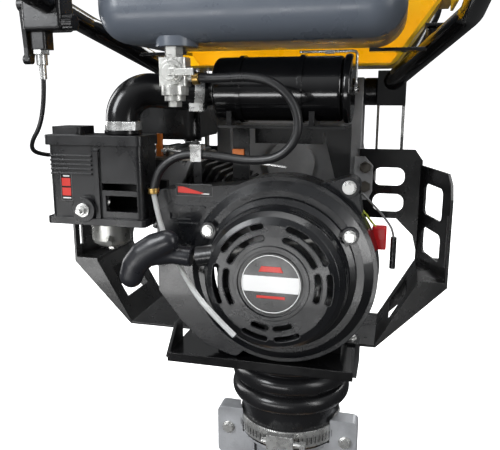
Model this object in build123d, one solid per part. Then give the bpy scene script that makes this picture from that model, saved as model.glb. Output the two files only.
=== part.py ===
from build123d import *
import os
from math import atan2, cos, degrees, hypot, pi, radians, sin, sqrt, tan

os.makedirs("parts", exist_ok=True)

# ---------------------------------------------------------------- frame
# The machine is drawn upright on the leg axis: X is the operator's right, Y points away from
# the operator, and Z is measured along the leg from the engine crankshaft. On export the
# drawing is lifted by CRANK_Z and leaned forward by LEAN about the centre of the sole, which
# is the origin. The shoe itself is drawn level, directly in the exported frame.
LEAN = 11.0            # forward lean of the leg, degrees
CRANK_Z = 600.0        # crankshaft above the sole, along the leg
CX = 28.0              # crankshaft to the right of the leg axis
MACHINE = Rot(X=-LEAN) * Pos(0, 0, CRANK_Z)

# ---------------------------------------------------------------- reduction gear and ram
THROW = 35.0           # crank pin radius: 70 mm stroke
GEAR_Z = 95.0          # crank gear centre above the crankshaft
GEAR_TEETH, PINION_TEETH = 63, 16
MODULE = 2 * hypot(CX, GEAR_Z) / (GEAR_TEETH + PINION_TEETH)
GEAR_R = GEAR_TEETH * MODULE / 2        # pitch radii
PINION_R = PINION_TEETH * MODULE / 2
CONROD_L = 120.0
PIN_Z = GEAR_Z - sqrt(CONROD_L ** 2 - THROW ** 2)   # wrist pin height at mid stroke
GEAR_Y0, GEAR_Y1 = 10.0, 28.0
ROD_R = 14.0
PISTON_Z = -250.0
PISTON_R = 39.92
BORE_R = 40.0
TUBE_R = 49.94         # sliding spring cylinder
GUIDE_BORE = 50.0
GUIDE_R = 62.0
GUIDE_FLANGE_R = 91.0
GUIDE_BOLT_R = 84.0

# ---------------------------------------------------------------- crankcase
CASE_R = 100.0
CASE_Y0, CASE_Y1 = -24.0, 50.0
NECK_R = 66.0
CLUTCH_CASE_R = 68.0
PTO_Y = -60.0          # engine mounting face
LUG_X = 107.0          # guard lugs on the crankcase
MOUNT_Y, MOUNT_Z = -40.0, 196.0
MOUNT_X0, MOUNT_X1 = 100.0, 118.0

# ---------------------------------------------------------------- bellows and leg
RIB_R, VALLEY_R, BELLOWS_T = 93.0, 78.0, 4.0
RIB_PITCH = 30.0
RIB_TOP = -135.0
RIB_COUNT = 5
COLLAR_R = 74.0
COLLAR_Z0, COLLAR_Z1 = -338.0, -292.0
LEG_R = 60.0

# ---------------------------------------------------------------- engine
FACE_Y = -290.0        # recoil cover front
COVER_Y = -252.0       # recoil cover flange
SHROUD_Y = -205.0      # rear edge of the blower shroud
COVER_R = 77.0
COVER_EARS = [149.5, 32.0]   # recoil cover bolts, degrees from +X towards +Z
EAR_R = 90.0
# Openings of the recoil cover: inner radius, outer radius, first and last angle on its face,
# and first and last angle round its rim.
FACE_SLOTS = [(46, 52, 103, 154), (58, 64, 101, 147), (46, 52, 27, 73), (58, 64, 25, 73),
              (46, 52, 168, 208), (58, 64, 166, 203), (46, 52, -17, 13), (58, 64, -15, 11),
              (46, 52, 248, 264), (58, 64, 242, 264), (46, 52, 276, 294), (58, 64, 276, 297)]
RIM_SLOTS = [(107, 120), (128, 139), (43, 56), (63, 73), (-28, -14), (-6, 8)]
ROPE_R = 2.2
ROPE = [(-61.2, FACE_Y + 14.4, 18.74), (78.0, FACE_Y + 16.0, 46.6)]
BLOWER_R = 106.0
SHROUD_EAR = (100.0, 95.0)   # upper corner bolt of the shroud, X and Z
SLANT = 25.0           # cylinder above horizontal, towards the operator's left
CYL_Y = -122.0
PLATE_Z = -116.0       # underside of the engine base plate
PLATE_T = 6.0
FOOT_X = (-43.0, 85.0)   # engine foot bolts
FOOT_Y = (-185.0, -118.0)
GUARD_Y = (-158.0, -112.0)   # guard foot bolts

# ---------------------------------------------------------------- intake, fuel
CAN_Y, CAN_Z, CAN_R = -195.0, 197.0, 35.0
CAN_X0, CAN_X1 = -55.0, 88.0
SPIGOT = [(CAN_X0 - 26, CAN_Y - 10, CAN_Z - 5), (CAN_X0 + 6, CAN_Y + 2, CAN_Z)]   # canister inlet
BOX_X0, BOX_X1 = -240.0, -122.0
BOX_Y0, BOX_Y1 = -264.0, -218.0
BOX_Z0, BOX_Z1 = 46.0, 136.0
NECK_X, NECK_Y = -154.0, -241.0   # air box outlet
CARB_X, CARB_Y, CARB_Z = -195.0, -201.0, 66.0
TANK_CX = -8.0
TANK_X, TANK_Y0, TANK_Y1 = 158.0, -288.0, -116.0
TANK_Z0, TANK_Z1 = 243.0, 385.0
VALVE_X, VALVE_Y = -82.0, -264.0

# ---------------------------------------------------------------- handle and hood
TUBE = 12.0            # handle tube radius
BAR_X = 212.0
BAR_Z = 270.0
GRIP_Y, GRIP_Z = -385.0, 402.0
ROLLER_Y, ROLLER_Z = 76.0, 376.0
HOOD_Y0, HOOD_Y1 = -104.0, -18.0
HOOD_T = 3.0

# ---------------------------------------------------------------- shoe
SHOE_X, SHOE_Y = 140.0, 165.0
SOLE_T = 8.0
SHOE_TOP = 62.0
FLANGE_TOP = 80.0
SHOE_BOLT_X, SHOE_BOLT_Y = 56.0, 52.0

# ---------------------------------------------------------------- cords
FUEL_HOSE_D = 9.5
CABLE_D = 5.0
DRAIN_D = 6.0
FUEL_ROUTE = [(-62, -264, 207), (-30, -264, 207), (-2, -265, 208.5), (25, -267, 203),
              (47.5, -268, 181), (51, -268, 150), (31, -266, 127), (-1, -262, 123), (-34, -259, 127),
              (-72, -259, 129.5), (-94, -259, 121), (-109, -259, 104), (-112, -259, 85.2)]
CABLE_ROUTE = [(-231, -272, 207), (-233, -272, 165), (-264, -264, 130), (-262, -227, 119),
               (-236, -204, 121), (-196, -199, 125)]
DRAIN_ROUTE = [(-112, -259, 83.7), (-107, -261, 58), (-97, -260, 28), (-82, -262, 2), (-58, -284, -18),
               (-34, -299, -34), (-9, -299, -57)]


# ================================================================ helpers
def rod(r, p0, p1):
    """Cylinder of radius r between two points."""
    p0 = Vector(*p0)
    axis = Vector(*p1) - p0
    plane = Plane(origin=p0, z_dir=axis)
    return plane * Cylinder(r, axis.length, align=(Align.CENTER, Align.CENTER, Align.MIN))


def rod_x(r, x0, x1, y, z):
    return rod(r, (x0, y, z), (x1, y, z))


def rod_y(r, y0, y1, x, z):
    return rod(r, (x, y0, z), (x, y1, z))


def rod_z(r, z0, z1, x=0.0, y=0.0):
    return rod(r, (x, y, z0), (x, y, z1))


def block(x0, x1, y0, y1, z0, z1, r=0.0):
    """Box between limits, with its upright (Z) edges rounded when r is given."""
    solid = Pos((x0 + x1) / 2, (y0 + y1) / 2, (z0 + z1) / 2) * Box(x1 - x0, y1 - y0, z1 - z0)
    if r > 0:
        solid = fillet(solid.edges().filter_by(Axis.Z), r)
    return solid


def soft_block(x0, x1, y0, y1, z0, z1, r):
    """Box between limits with every edge rounded."""
    solid = block(x0, x1, y0, y1, z0, z1)
    return fillet(solid.edges(), r)


def slab_y(points, y0, y1):
    """Prism of an X-Z outline between two Y stations."""
    face = make_face(Polyline(*[(x, 0, z) for x, z in points], close=True))
    return extrude(Pos(0, y1, 0) * face, amount=y1 - y0, dir=(0, -1, 0))


def slab_x(points, x0, x1):
    """Prism of a Y-Z outline between two X stations."""
    face = make_face(Polyline(*[(0, y, z) for y, z in points], close=True))
    return extrude(Pos(x1, 0, 0) * face, amount=x1 - x0, dir=(-1, 0, 0))


def spun(points, axis_at=(0, 0)):
    """Solid of revolution about the vertical axis from (radius, z) points."""
    face = make_face(Polyline(*[(r, 0, z) for r, z in points], close=True))
    return Pos(axis_at[0], axis_at[1], 0) * revolve(face, Axis.Z)


def spun_y(points, x, z):
    """Solid of revolution about a Y axis through (x, z) from (radius, y) points."""
    face = make_face(Polyline(*[(r, y, 0) for r, y in points], close=True))
    return Pos(x, 0, z) * revolve(face, Axis.Y)


def hex_head(r, p0, p1):
    """Hexagon bar of circumradius r between two points."""
    p0 = Vector(*p0)
    axis = Vector(*p1) - p0
    plane = Plane(origin=p0, z_dir=axis)
    return extrude(plane * RegularPolygon(r, 6), amount=axis.length)


def bolt_y(x, z, y_head, y_tip, r=4.0, head=6.5, k=5.0):
    """Flanged hex bolt along Y: its head stands outside y_head, away from the tip."""
    s = -1 if y_tip > y_head else 1
    out = rod_y(r, min(y_head, y_tip), max(y_head, y_tip), x, z)
    out += rod_y(head * 1.15, min(y_head, y_head + s * 1.6), max(y_head, y_head + s * 1.6), x, z)
    out += hex_head(head, (x, y_head, z), (x, y_head + s * k, z))
    return out


def bolt_z(x, y, z_head, z_tip, r=4.0, head=6.5, k=5.0):
    """Flanged hex bolt along Z."""
    s = -1 if z_tip > z_head else 1
    out = rod_z(r, min(z_head, z_tip), max(z_head, z_tip), x, y)
    out += rod_z(head * 1.15, min(z_head, z_head + s * 1.6), max(z_head, z_head + s * 1.6), x, y)
    out += hex_head(head, (x, y, z_head), (x, y, z_head + s * k))
    return out


def bolt_x(y, z, x_head, x_tip, r=4.0, head=6.5, k=5.0):
    """Flanged hex bolt along X."""
    s = -1 if x_tip > x_head else 1
    out = rod_x(r, min(x_head, x_tip), max(x_head, x_tip), y, z)
    out += rod_x(head * 1.15, min(x_head, x_head + s * 1.6), max(x_head, x_head + s * 1.6), y, z)
    out += hex_head(head, (x_head, y, z), (x_head + s * k, y, z))
    return out


def ring(x, z, r, count, start=0.0):
    """Points spaced round a circle in the X-Z plane."""
    out = []
    for i in range(count):
        a = radians(start + 360.0 * i / count)
        out.append((x + r * cos(a), z + r * sin(a)))
    return out


def turn_radii(route):
    """Largest sensible bend radius at each inner corner of a route."""
    out = []
    for a, b, c in zip(route, route[1:], route[2:]):
        u = (Vector(*b) - Vector(*a))
        v = (Vector(*c) - Vector(*b))
        half = radians(u.get_angle(v)) / 2
        out.append(0.45 * min(u.length, v.length) / tan(half))
    return out


def cord(name, route, diameter):
    """Round tube along straight runs joined by tangent arcs."""
    radii = turn_radii(route)
    path = [Vector(*p) for p in route]
    wire = FilletPolyline(*path, radius=radii)
    start = Plane(origin=wire @ 0, z_dir=wire % 0)
    solid = sweep(start * Circle(diameter / 2), path=wire)
    ideal = wire.length * pi * diameter ** 2 / 4
    print(name, "length %.0f mm" % wire.length, "radii", [round(r) for r in radii],
          "volume ratio %.3f" % (solid.volume / ideal))
    return solid


def save(name, *solids, level=False):
    """Write one node; the leaning machine frame applies unless the part is drawn level."""
    shape = solids[0] if len(solids) == 1 else Compound(children=list(solids))
    if not level:
        shape = MACHINE * shape
    export_step(shape, "parts/%s.step" % name)


# ================================================================ crankcase
def crankcase():
    body = rod_y(CASE_R, CASE_Y0, CASE_Y1, 0, GEAR_Z)
    body += rod_z(NECK_R, -72, -8) & block(-99, 99, PTO_Y, 99, -99, 99)
    body += block(-58, 58, PTO_Y, CASE_Y1, -40, 30)
    body += rod_z(GUIDE_FLANGE_R, -82, -72)
    body += rod_y(CLUTCH_CASE_R, PTO_Y, CASE_Y0 + 4, CX, 0)
    for s in (-1, 1):
        x0, x1 = sorted((s * 80, s * MOUNT_X0))
        body += block(x0, x1, PTO_Y, CASE_Y0 + 20, 96, 214)
        x0, x1 = sorted((s * 78, s * 120))
        body += block(x0, x1, PTO_Y, PTO_Y + 30, 58, 112)
    for x, z in ring(0, GEAR_Z, 94, 8):
        body += rod_y(9, CASE_Y1 - 30, CASE_Y1, x, z)
    body += rod_y(34, CASE_Y0 - 8, CASE_Y0 + 8, 0, GEAR_Z)
    body -= rod_y(88, CASE_Y0 + 8, CASE_Y1 + 1, 0, GEAR_Z)
    body -= block(-48, 48, CASE_Y0 + 5, 24, -83, GEAR_Z)
    body -= rod_y(60, PTO_Y - 1, CASE_Y0 - 4, CX, 0)
    body -= rod_y(PINION_R + 3, CASE_Y0 + 6, CASE_Y1 - 14, CX, 0)
    body -= rod_y(12.05, PTO_Y, CASE_Y1 - 6, CX, 0)
    body -= rod_z(GUIDE_BORE + 0.5, -83, -66)
    for x, y in ring(0, 0, GUIDE_BOLT_R, 6, 30):
        body -= rod_z(3.4, -83, -73, x, y)
    for s in (-1, 1):
        body -= rod_x(5.2, s * 76, s * 110, MOUNT_Y, MOUNT_Z)
        for z in (72, 98):
            body -= rod_y(5.2, PTO_Y - 1, PTO_Y + 24, s * LUG_X, z)
    for x, z in ring(0, GEAR_Z, 94, 8):
        body -= rod_y(3.4, CASE_Y1 - 20, CASE_Y1 + 1, x, z)
    return body


def crankcase_cover():
    cover = rod_y(CASE_R, CASE_Y1, CASE_Y1 + 8, 0, GEAR_Z)
    cover += rod_y(46, CASE_Y1, CASE_Y1 + 20, 0, GEAR_Z)
    for x, z in ring(0, GEAR_Z, 94, 8):
        cover += rod_y(9, CASE_Y1, CASE_Y1 + 12, x, z)
    for i in range(8):
        rib = Pos(0, 0, GEAR_Z) * Rot(Y=45 * i + 22.5) * block(-3, 3, CASE_Y1 + 1, CASE_Y1 + 16, 40, 90)
        cover += rib
    cover -= rod_y(20.05, CASE_Y1 - 1, CASE_Y1 + 12, 0, GEAR_Z)
    for x, z in ring(0, GEAR_Z, 94, 8):
        cover -= rod_y(4.2, CASE_Y1 - 1, CASE_Y1 + 13, x, z)
    return cover


def case_bolts():
    out = []
    for x, z in ring(0, GEAR_Z, 94, 8):
        out.append(bolt_y(x, z, CASE_Y1 + 12, CASE_Y1 - 18, r=3.3, head=6))
    for s in (-1, 1):
        out.append(bolt_x(MOUNT_Y, MOUNT_Z, s * 80, s * 99.6, r=5.1, head=8.5, k=6))
    return out


def guide_cylinder():
    part = rod_z(GUIDE_R, -235, -82)
    part += rod_z(GUIDE_FLANGE_R, -90, -82)
    part += rod_z(VALLEY_R - BELLOWS_T, -112, -90)
    part -= rod_z(GUIDE_BORE, -236, -81)
    for x, y in ring(0, 0, GUIDE_BOLT_R, 6, 30):
        part -= rod_z(3.4, -93, -81, x, y)
    return part


def guide_bolts():
    return [bolt_z(x, y, -90, -76, r=3.3, head=5.0, k=4) for x, y in ring(0, 0, GUIDE_BOLT_R, 6, 30)]


def bellows():
    """Rubber sleeve: round ribs with narrower valleys, open at both ends."""
    outer = [(VALLEY_R, -94)]
    inner = [(VALLEY_R - BELLOWS_T, -94)]
    half = RIB_PITCH / 2
    for i in range(RIB_COUNT):
        z = RIB_TOP - RIB_PITCH * i
        outer += [(VALLEY_R, z + half), (RIB_R - 4, z + half * 0.62), (RIB_R, z + 3), (RIB_R, z - 3),
                  (RIB_R - 4, z - half * 0.62)]
        inner += [(VALLEY_R - BELLOWS_T, z + half - 1), (RIB_R - 8, z + half * 0.5),
                  (RIB_R - BELLOWS_T, z), (RIB_R - 8, z - half * 0.5)]
    end = RIB_TOP - RIB_PITCH * RIB_COUNT + half
    outer += [(VALLEY_R, end), (VALLEY_R, -330)]
    inner += [(VALLEY_R - BELLOWS_T, end + 1), (VALLEY_R - BELLOWS_T, -330)]
    return spun(outer + inner[::-1])


def bellows_clamp(z0, z1, angle):
    band = rod_z(VALLEY_R + 1.8, z0, z1) - rod_z(VALLEY_R, z0 - 1, z1 + 1)
    screw = block(-20, 20, -VALLEY_R - 13, -VALLEY_R - 1, z0 + 1, z1 - 1)
    screw += rod_x(4, -28, 30, -VALLEY_R - 8, (z0 + z1) / 2)
    screw += hex_head(7, (30, -VALLEY_R - 8, (z0 + z1) / 2), (38, -VALLEY_R - 8, (z0 + z1) / 2))
    screw -= rod_z(VALLEY_R, z0 - 1, z1 + 1)
    return Rot(Z=angle) * (band + screw)


# ================================================================ ram
def leg_casting():
    leg = rod_z(TUBE_R, -300, -118)
    leg += rod_z(COLLAR_R, COLLAR_Z0, COLLAR_Z1)
    leg += rod_z(LEG_R, -526, COLLAR_Z0 + 10)
    for s in (-1, 1):
        x0, x1 = sorted((s * 50, s * 110))
        ear = block(x0, x1, -42, -14, -372, -292)
        ear = fillet(ear.edges().filter_by(Axis.Y), 8)
        leg += ear
    leg -= rod_z(VALLEY_R + 2.2, -331, -290) - rod_z(COLLAR_R, -331, -290)
    for i in range(4):
        z = -400 - 32 * i
        leg += rod_z(LEG_R + 5, z - 3, z + 3)
    for a in (0, 90, 180, 270):
        leg += Rot(Z=a) * block(LEG_R - 4, LEG_R + 5, -4, 4, -520, -380)
    for s in (-1, 1):
        leg -= rod_y(5.2, -43, -13, s * 92, -326)
    leg -= rod_z(BORE_R, -505, -117)
    leg = MACHINE * leg
    foot = block(-SHOE_BOLT_X - 22, SHOE_BOLT_X + 22, -SHOE_BOLT_Y - 22, SHOE_BOLT_Y + 22,
                 SHOE_TOP, FLANGE_TOP, 14)
    leg += foot
    for s in (-1, 1):
        leg += slab_x([(0, FLANGE_TOP - 1), (68, FLANGE_TOP - 1), (28, 150), (0, 150)],
                      s * 40 - 5, s * 40 + 5)
        leg += slab_x([(20, FLANGE_TOP - 1), (-62, FLANGE_TOP - 1), (-22, 136), (20, 136)],
                      s * 40 - 5, s * 40 + 5)
    leg -= MACHINE * rod_z(BORE_R, -505, -117)
    leg -= block(-200, 200, -200, 200, 0, SHOE_TOP)
    for sx in (-1, 1):
        for sy in (-1, 1):
            leg -= rod_z(7.2, 0, 200, sx * SHOE_BOLT_X, sy * SHOE_BOLT_Y)
            leg -= rod_z(17, FLANGE_TOP, 120, sx * SHOE_BOLT_X, sy * SHOE_BOLT_Y)
    return leg


def leg_bolts():
    out = []
    for s in (-1, 1):
        out.append(bolt_y(s * 92, -326, -42, -8, r=5, head=8.5, k=6)
                   + hex_head(8.5, (s * 92, -14, -326), (s * 92, -6, -326)))
    return out


def spring_cap():
    cap = rod_z(BORE_R, -130, -118)
    cap += rod_z(TUBE_R - 0.5, -118, -112)
    cap -= rod_z(ROD_R + 0.08, -140, -100)
    return cap


def coil(z0, z1, radius, wire, turns):
    path = Helix(pitch=(z1 - z0 - wire * 1.1) / turns, height=z1 - z0 - wire * 1.1, radius=radius)
    start = Plane(origin=path @ 0, z_dir=path % 0)
    return Pos(0, 0, z0 + wire * 0.55) * sweep(start * Circle(wire / 2), path=path, is_frenet=True)


def piston():
    part = rod_z(PISTON_R, PISTON_Z - 10, PISTON_Z + 10)
    part += rod_z(ROD_R, PISTON_Z - 22, PIN_Z - 22)
    part += hex_head(17, (0, 0, PISTON_Z - 26), (0, 0, PISTON_Z - 10))
    fork = block(-14, 14, -17, 7.6, PIN_Z - 26, PIN_Z + 14)
    fork = fillet(fork.edges().filter_by(Axis.Y), 8)
    fork -= block(-20, 20, -10.6, 2.6, PIN_Z - 20, PIN_Z + 20)
    part += fork
    part += rod_y(5, -17.4, 8, 0, PIN_Z)
    return part


def conrod():
    """Crank pin at (-THROW, GEAR_Z); the small end is bored large so that the open pivot stays clear."""
    big = rod_y(17, -10, 9, -THROW, GEAR_Z)
    small = rod_y(13, -10, 2, 0, PIN_Z)
    a = degrees(atan2(THROW, GEAR_Z - PIN_Z))
    beam = Pos(0, 0, PIN_Z) * Rot(Y=-a) * block(-7, 7, -9.5, 1.5, 8, CONROD_L - 8)
    out = big + small + beam
    out -= rod_y(10.05, -14, 10, -THROW, GEAR_Z)
    out -= rod_y(8.6, -14, 10, 0, PIN_Z)
    return out


def toothed(wheel, radius, teeth, start, x, z):
    """Add straight teeth to a blank; start is the angle of one tooth from +Z towards +X."""
    root, tip = radius - 3.4, radius + 2.0
    outline = [(-2.2, root), (2.2, root), (0.8, tip), (-0.8, tip)]
    tooth = slab_y(outline, GEAR_Y0, GEAR_Y1)
    for i in range(teeth):
        wheel += Pos(x, 0, z) * Rot(Y=start + 360.0 * i / teeth) * tooth
    return wheel


def crank_gear():
    gear = rod_y(GEAR_R - 3, GEAR_Y0, GEAR_Y1, 0, GEAR_Z)
    gear = toothed(gear, GEAR_R, GEAR_TEETH, degrees(atan2(CX, -GEAR_Z)), 0, GEAR_Z)
    for i in range(4):
        gear -= Pos(0, 0, GEAR_Z) * Rot(Y=90 * i + 45) * rod_y(13, GEAR_Y0 - 1, GEAR_Y1 + 1, 48, 0)
    gear += rod_y(20, GEAR_Y0, CASE_Y1 + 11.5, 0, GEAR_Z)
    gear += rod_y(10, -11, GEAR_Y0, -THROW, GEAR_Z)
    gear += rod_y(15, -13, -10.3, -THROW, GEAR_Z)
    return gear


def clutch_drum():
    """Drum driven by the shoes, with the pinion cut on its own shaft."""
    drum = rod_y(56, -56, -30, CX, 0) - rod_y(52, -57, -34, CX, 0)
    drum += rod_y(12, -30, 40, CX, 0)
    drum += rod_y(16, -34, -28.5, CX, 0)
    drum += rod_y(PINION_R - 3, GEAR_Y0 - 1.5, GEAR_Y1 + 2, CX, 0)
    gap = 180.0 / PINION_TEETH
    drum = toothed(drum, PINION_R, PINION_TEETH, degrees(atan2(-CX, GEAR_Z)) + gap, CX, 0)
    drum -= rod_y(9, -57, -28, CX, 0)
    return drum


def clutch_shoes():
    out = []
    hub = rod_y(16, -56, -38, CX, 0)
    for k in range(2):
        seg = rod_y(50, -55, -39, CX, 0) - rod_y(26, -57, -37, CX, 0)
        keep = block(CX - 60, CX + 60, -60, -30, 4, 60)
        seg &= keep
        out.append(Pos(CX, 0, 0) * Rot(Y=180 * k) * Pos(-CX, 0, 0) * seg)
    hub += block(CX - 30, CX + 30, -54, -40, -3, 3)
    hub -= rod_y(8.05, -60, -36, CX, 0)
    return [hub] + out


# ================================================================ engine
def slanted(solid):
    """Place a solid drawn about +Z at the crankshaft on the slanted cylinder axis."""
    return Pos(CX, CYL_Y, 0) * Rot(Y=-(90 - SLANT)) * solid


def engine_block():
    body = block(CX - 78, CX + 70, -200, PTO_Y, -106, 66)
    body = fillet(body.edges().filter_by(Axis.Y), 18)
    body += rod_y(84, -200, -188, CX, 0)
    body += rod_y(70, PTO_Y - 12, PTO_Y, CX, 0)
    body += slanted(rod_z(46, 40, 158))
    for i in range(8):
        z = 84 + 9.5 * i
        body += slanted(block(-52, 52, -56, 49, z, z + 3, 10))
    for x0, x1 in ((-58, -28), (70, 94)):
        body += block(x0, x1, -200, PTO_Y - 10, PLATE_Z + PLATE_T, -90)
    body -= rod_z(RIB_R + 4, -130, -66)
    body -= rod_y(46, -188, PTO_Y - 14, CX, 0)
    body -= rod_y(17.05, -202, PTO_Y + 2, CX, 0)
    for x in FOOT_X:
        for y in FOOT_Y:
            body -= rod_z(4.3, -120, -88, x, y)
    return body


def engine_bolts():
    out = []
    for x in FOOT_X:
        for y in FOOT_Y:
            out.append(bolt_z(x, y, PLATE_Z, -90, r=4.2, head=7.5))
    return out


def cylinder_head():
    head = slanted(block(-54, 54, -56, 49, 160, 192, 8))
    for i in range(3):
        z = 165 + 9 * i
        cut = block(-60, -40, -62, 62, z, z + 5) + block(40, 60, -62, 62, z, z + 5)
        head -= slanted(cut)
    head -= slanted(rod_z(5.05, 150, 200, -34, 14))
    return head


def valve_cover():
    cover = slanted(soft_block(-16, 42, -40, 40, 192, 216, 7))
    cover += slanted(block(-26, 50, -52, 48, 192, 196, 8))
    cover -= slanted(rod_z(10, 190, 200, -34, 14))
    return cover


def cover_bolts():
    out = []
    for x, y in ((-20, -46), (44, -46), (-20, 43), (44, 43)):
        out.append(slanted(rod_z(4.6, 196, 201, x, y)))
    return out


def spark_plug():
    return slanted(rod_z(5, 166, 192, -34, 14) + rod_z(7.5, 196, 202, -34, 14) + rod_z(5, 192, 232, -34, 14))


def plug_cap():
    cap = slanted(rod_z(10, 207, 248, -34, 14) - rod_z(5.4, 206, 232.4, -34, 14))
    cap += slanted(rod(7, (-34, 14, 241), (-34, -14, 245)))
    return cap


def crankshaft():
    shaft = rod_y(17, -204, PTO_Y - 2, CX, 0)
    shaft -= rod_y(18, -160, -110, CX, 0)
    shaft += rod_y(8, -60, -37, CX, 0)
    shaft += rod_y(12, PTO_Y - 2, -57, CX, 0)
    shaft += rod_y(11, -212, -203, CX, 0)
    for y0, y1 in ((-166, -146), (-124, -104)):
        web = block(CX - 18, CX + 18, y0, y1, -36, 40)
        web = fillet(web.edges().filter_by(Axis.Y), 12)
        shaft += web
    shaft += rod_y(14, -150, -120, CX, 27)
    return shaft


def flywheel_fan():
    wheel = rod_y(82, -218, -211, CX, 0)
    wheel += rod_y(26, -240, -212, CX, 0)
    for i in range(14):
        a = 360.0 * i / 14
        blade = block(48, 80, -240, -217, -1.6, 1.6)
        wheel += Pos(CX, 0, 0) * Rot(Y=a) * blade
    wheel += rod_y(26, -246, -239, CX, 0) - rod_y(20, -247, -240, CX, 0)
    wheel -= rod_y(11, -213, -202, CX, 0)
    return wheel


def shroud_outline(g):
    return [(-112 - g, 86 + g), (-6, 96 + g), (CX, 60), (CX, -60), (-24, -108 - g), (-61 - g, -96 - g),
            (-91 - g, -68 - g), (-117 - g, -34 - g), (-117 - g, 74)]


def blower_shroud():
    shell = slab_y(shroud_outline(0), COVER_Y + 10, SHROUD_Y)
    shell = fillet(shell.edges().filter_by(Axis.Y), 3)
    shell += rod_y(BLOWER_R, COVER_Y + 6, SHROUD_Y, CX, 0)
    shell += spun_y([(0, COVER_Y), (BLOWER_R - 14, COVER_Y), (BLOWER_R - 3, COVER_Y + 7),
                     (0, COVER_Y + 7)], CX, 0)
    shell += rod_y(11, COVER_Y + 16, SHROUD_Y, *SHROUD_EAR)
    x, z = SHROUD_EAR
    shell += slab_y([(CX + 30, 94), (x - 4, z + 10), (x + 10, z - 4), (CX + 88, 52)], COVER_Y + 18, SHROUD_Y)
    shell -= slab_y(shroud_outline(-3), COVER_Y + 13, SHROUD_Y + 1)
    shell -= rod_y(BLOWER_R - 3, COVER_Y + 9, SHROUD_Y + 1, CX, 0)
    shell -= rod_y(84, COVER_Y - 1, COVER_Y + 10, CX, 0)
    for z0, z1 in ((66, 69), (46, 49)):
        shell += block(-96, -58, COVER_Y + 8.5, COVER_Y + 12, z0, z1)
    shell -= rod_y(3.4, COVER_Y + 15, SHROUD_Y - 8, *SHROUD_EAR)
    shell -= block(-100, -76, COVER_Y + 5, COVER_Y + 12, 53, 60)
    return shell


def arc_slot(r0, r1, a0, a1, y0, y1):
    """Ring segment about the crankshaft, angles in degrees from +X towards +Z."""
    n = 10
    pts = []
    for i in range(n + 1):
        a = radians(a0 + (a1 - a0) * i / n)
        pts.append((CX + r0 * cos(a), r0 * sin(a)))
    for i in range(n, -1, -1):
        a = radians(a0 + (a1 - a0) * i / n)
        pts.append((CX + r1 * cos(a), r1 * sin(a)))
    slot = slab_y(pts, y0, y1)
    for a in (a0, a1):
        mid = (r0 + r1) / 2
        slot += rod_y((r1 - r0) / 2, y0, y1, CX + mid * cos(radians(a)), mid * sin(radians(a)))
    return slot


def recoil_housing():
    outer = spun_y([(0, FACE_Y), (62, FACE_Y), (70, FACE_Y + 3), (75, FACE_Y + 9), (COVER_R, FACE_Y + 18),
                    (COVER_R + 1, COVER_Y - 8), (84, COVER_Y - 4), (84, COVER_Y + 3),
                    (0, COVER_Y + 3)], CX, 0)
    for a in COVER_EARS:
        x = CX + EAR_R * cos(radians(a))
        z = EAR_R * sin(radians(a))
        outer += rod_y(9, COVER_Y - 8, COVER_Y - 0.4, x, z)
        mid = Pos(CX, 0, 0) * Rot(Y=-a) * block(70, EAR_R, COVER_Y - 6, COVER_Y - 0.4, -8, 8)
        outer += mid
    outer -= spun_y([(0, FACE_Y + 3), (60, FACE_Y + 3), (67, FACE_Y + 6), (72, FACE_Y + 12),
                     (COVER_R - 3, FACE_Y + 20), (COVER_R - 3, COVER_Y + 4), (0, COVER_Y + 4)], CX, 0)
    for r0, r1, a0, a1 in FACE_SLOTS:
        outer -= arc_slot(r0, r1, a0, a1, FACE_Y - 1, FACE_Y + 11)
    for a0, a1 in RIM_SLOTS:
        for i in range(3):
            y = FACE_Y + 11 + 5 * i
            outer -= arc_slot(69, 83, a0, a1, y, y + 2.2)
    ringed = rod_y(40, FACE_Y - 2, FACE_Y + 1, CX, 0) - rod_y(36, FACE_Y - 3, FACE_Y + 2, CX, 0)
    outer += ringed
    outer += rod(11, (-34, FACE_Y + 14.7, 24.2), (-56, FACE_Y + 14.4, 19.8))
    outer -= rod(ROPE_R + 1.5, ROPE[0], (-20, FACE_Y + 14.9, 27))
    for a in COVER_EARS:
        x = CX + EAR_R * cos(radians(a))
        z = EAR_R * sin(radians(a))
        outer -= rod_y(3.4, COVER_Y - 9, COVER_Y + 1, x, z)
    outer -= rod_y(6.1, FACE_Y + 2, FACE_Y + 4, CX, 0)
    outer += rod_y(6, FACE_Y + 2, FACE_Y + 26, CX, 0)
    return outer


def recoil_bolts():
    out = [bolt_y(*SHROUD_EAR, COVER_Y + 16, SHROUD_Y - 9, r=3.3, head=6.5, k=5)]
    for a in COVER_EARS:
        x = CX + EAR_R * cos(radians(a))
        z = EAR_R * sin(radians(a))
        out.append(bolt_y(x, z, COVER_Y - 8, COVER_Y - 0.4, r=3.3, head=5.6, k=4.5))
    return out


def badge():
    disc = rod_y(33, FACE_Y - 1.6, FACE_Y, CX, 0)
    disc -= rod_y(31.5, FACE_Y - 2, FACE_Y - 1.2, CX, 0) - rod_y(30, FACE_Y - 3, FACE_Y, CX, 0)
    return disc


def recoil_pulley():
    wheel = rod_y(40, FACE_Y + 8, FACE_Y + 24, CX, 0)
    wheel -= rod_y(41, FACE_Y + 12, FACE_Y + 20, CX, 0) - rod_y(33, FACE_Y + 11, FACE_Y + 21, CX, 0)
    wheel -= rod_y(6.06, FACE_Y + 7, FACE_Y + 25, CX, 0)
    return wheel


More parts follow.
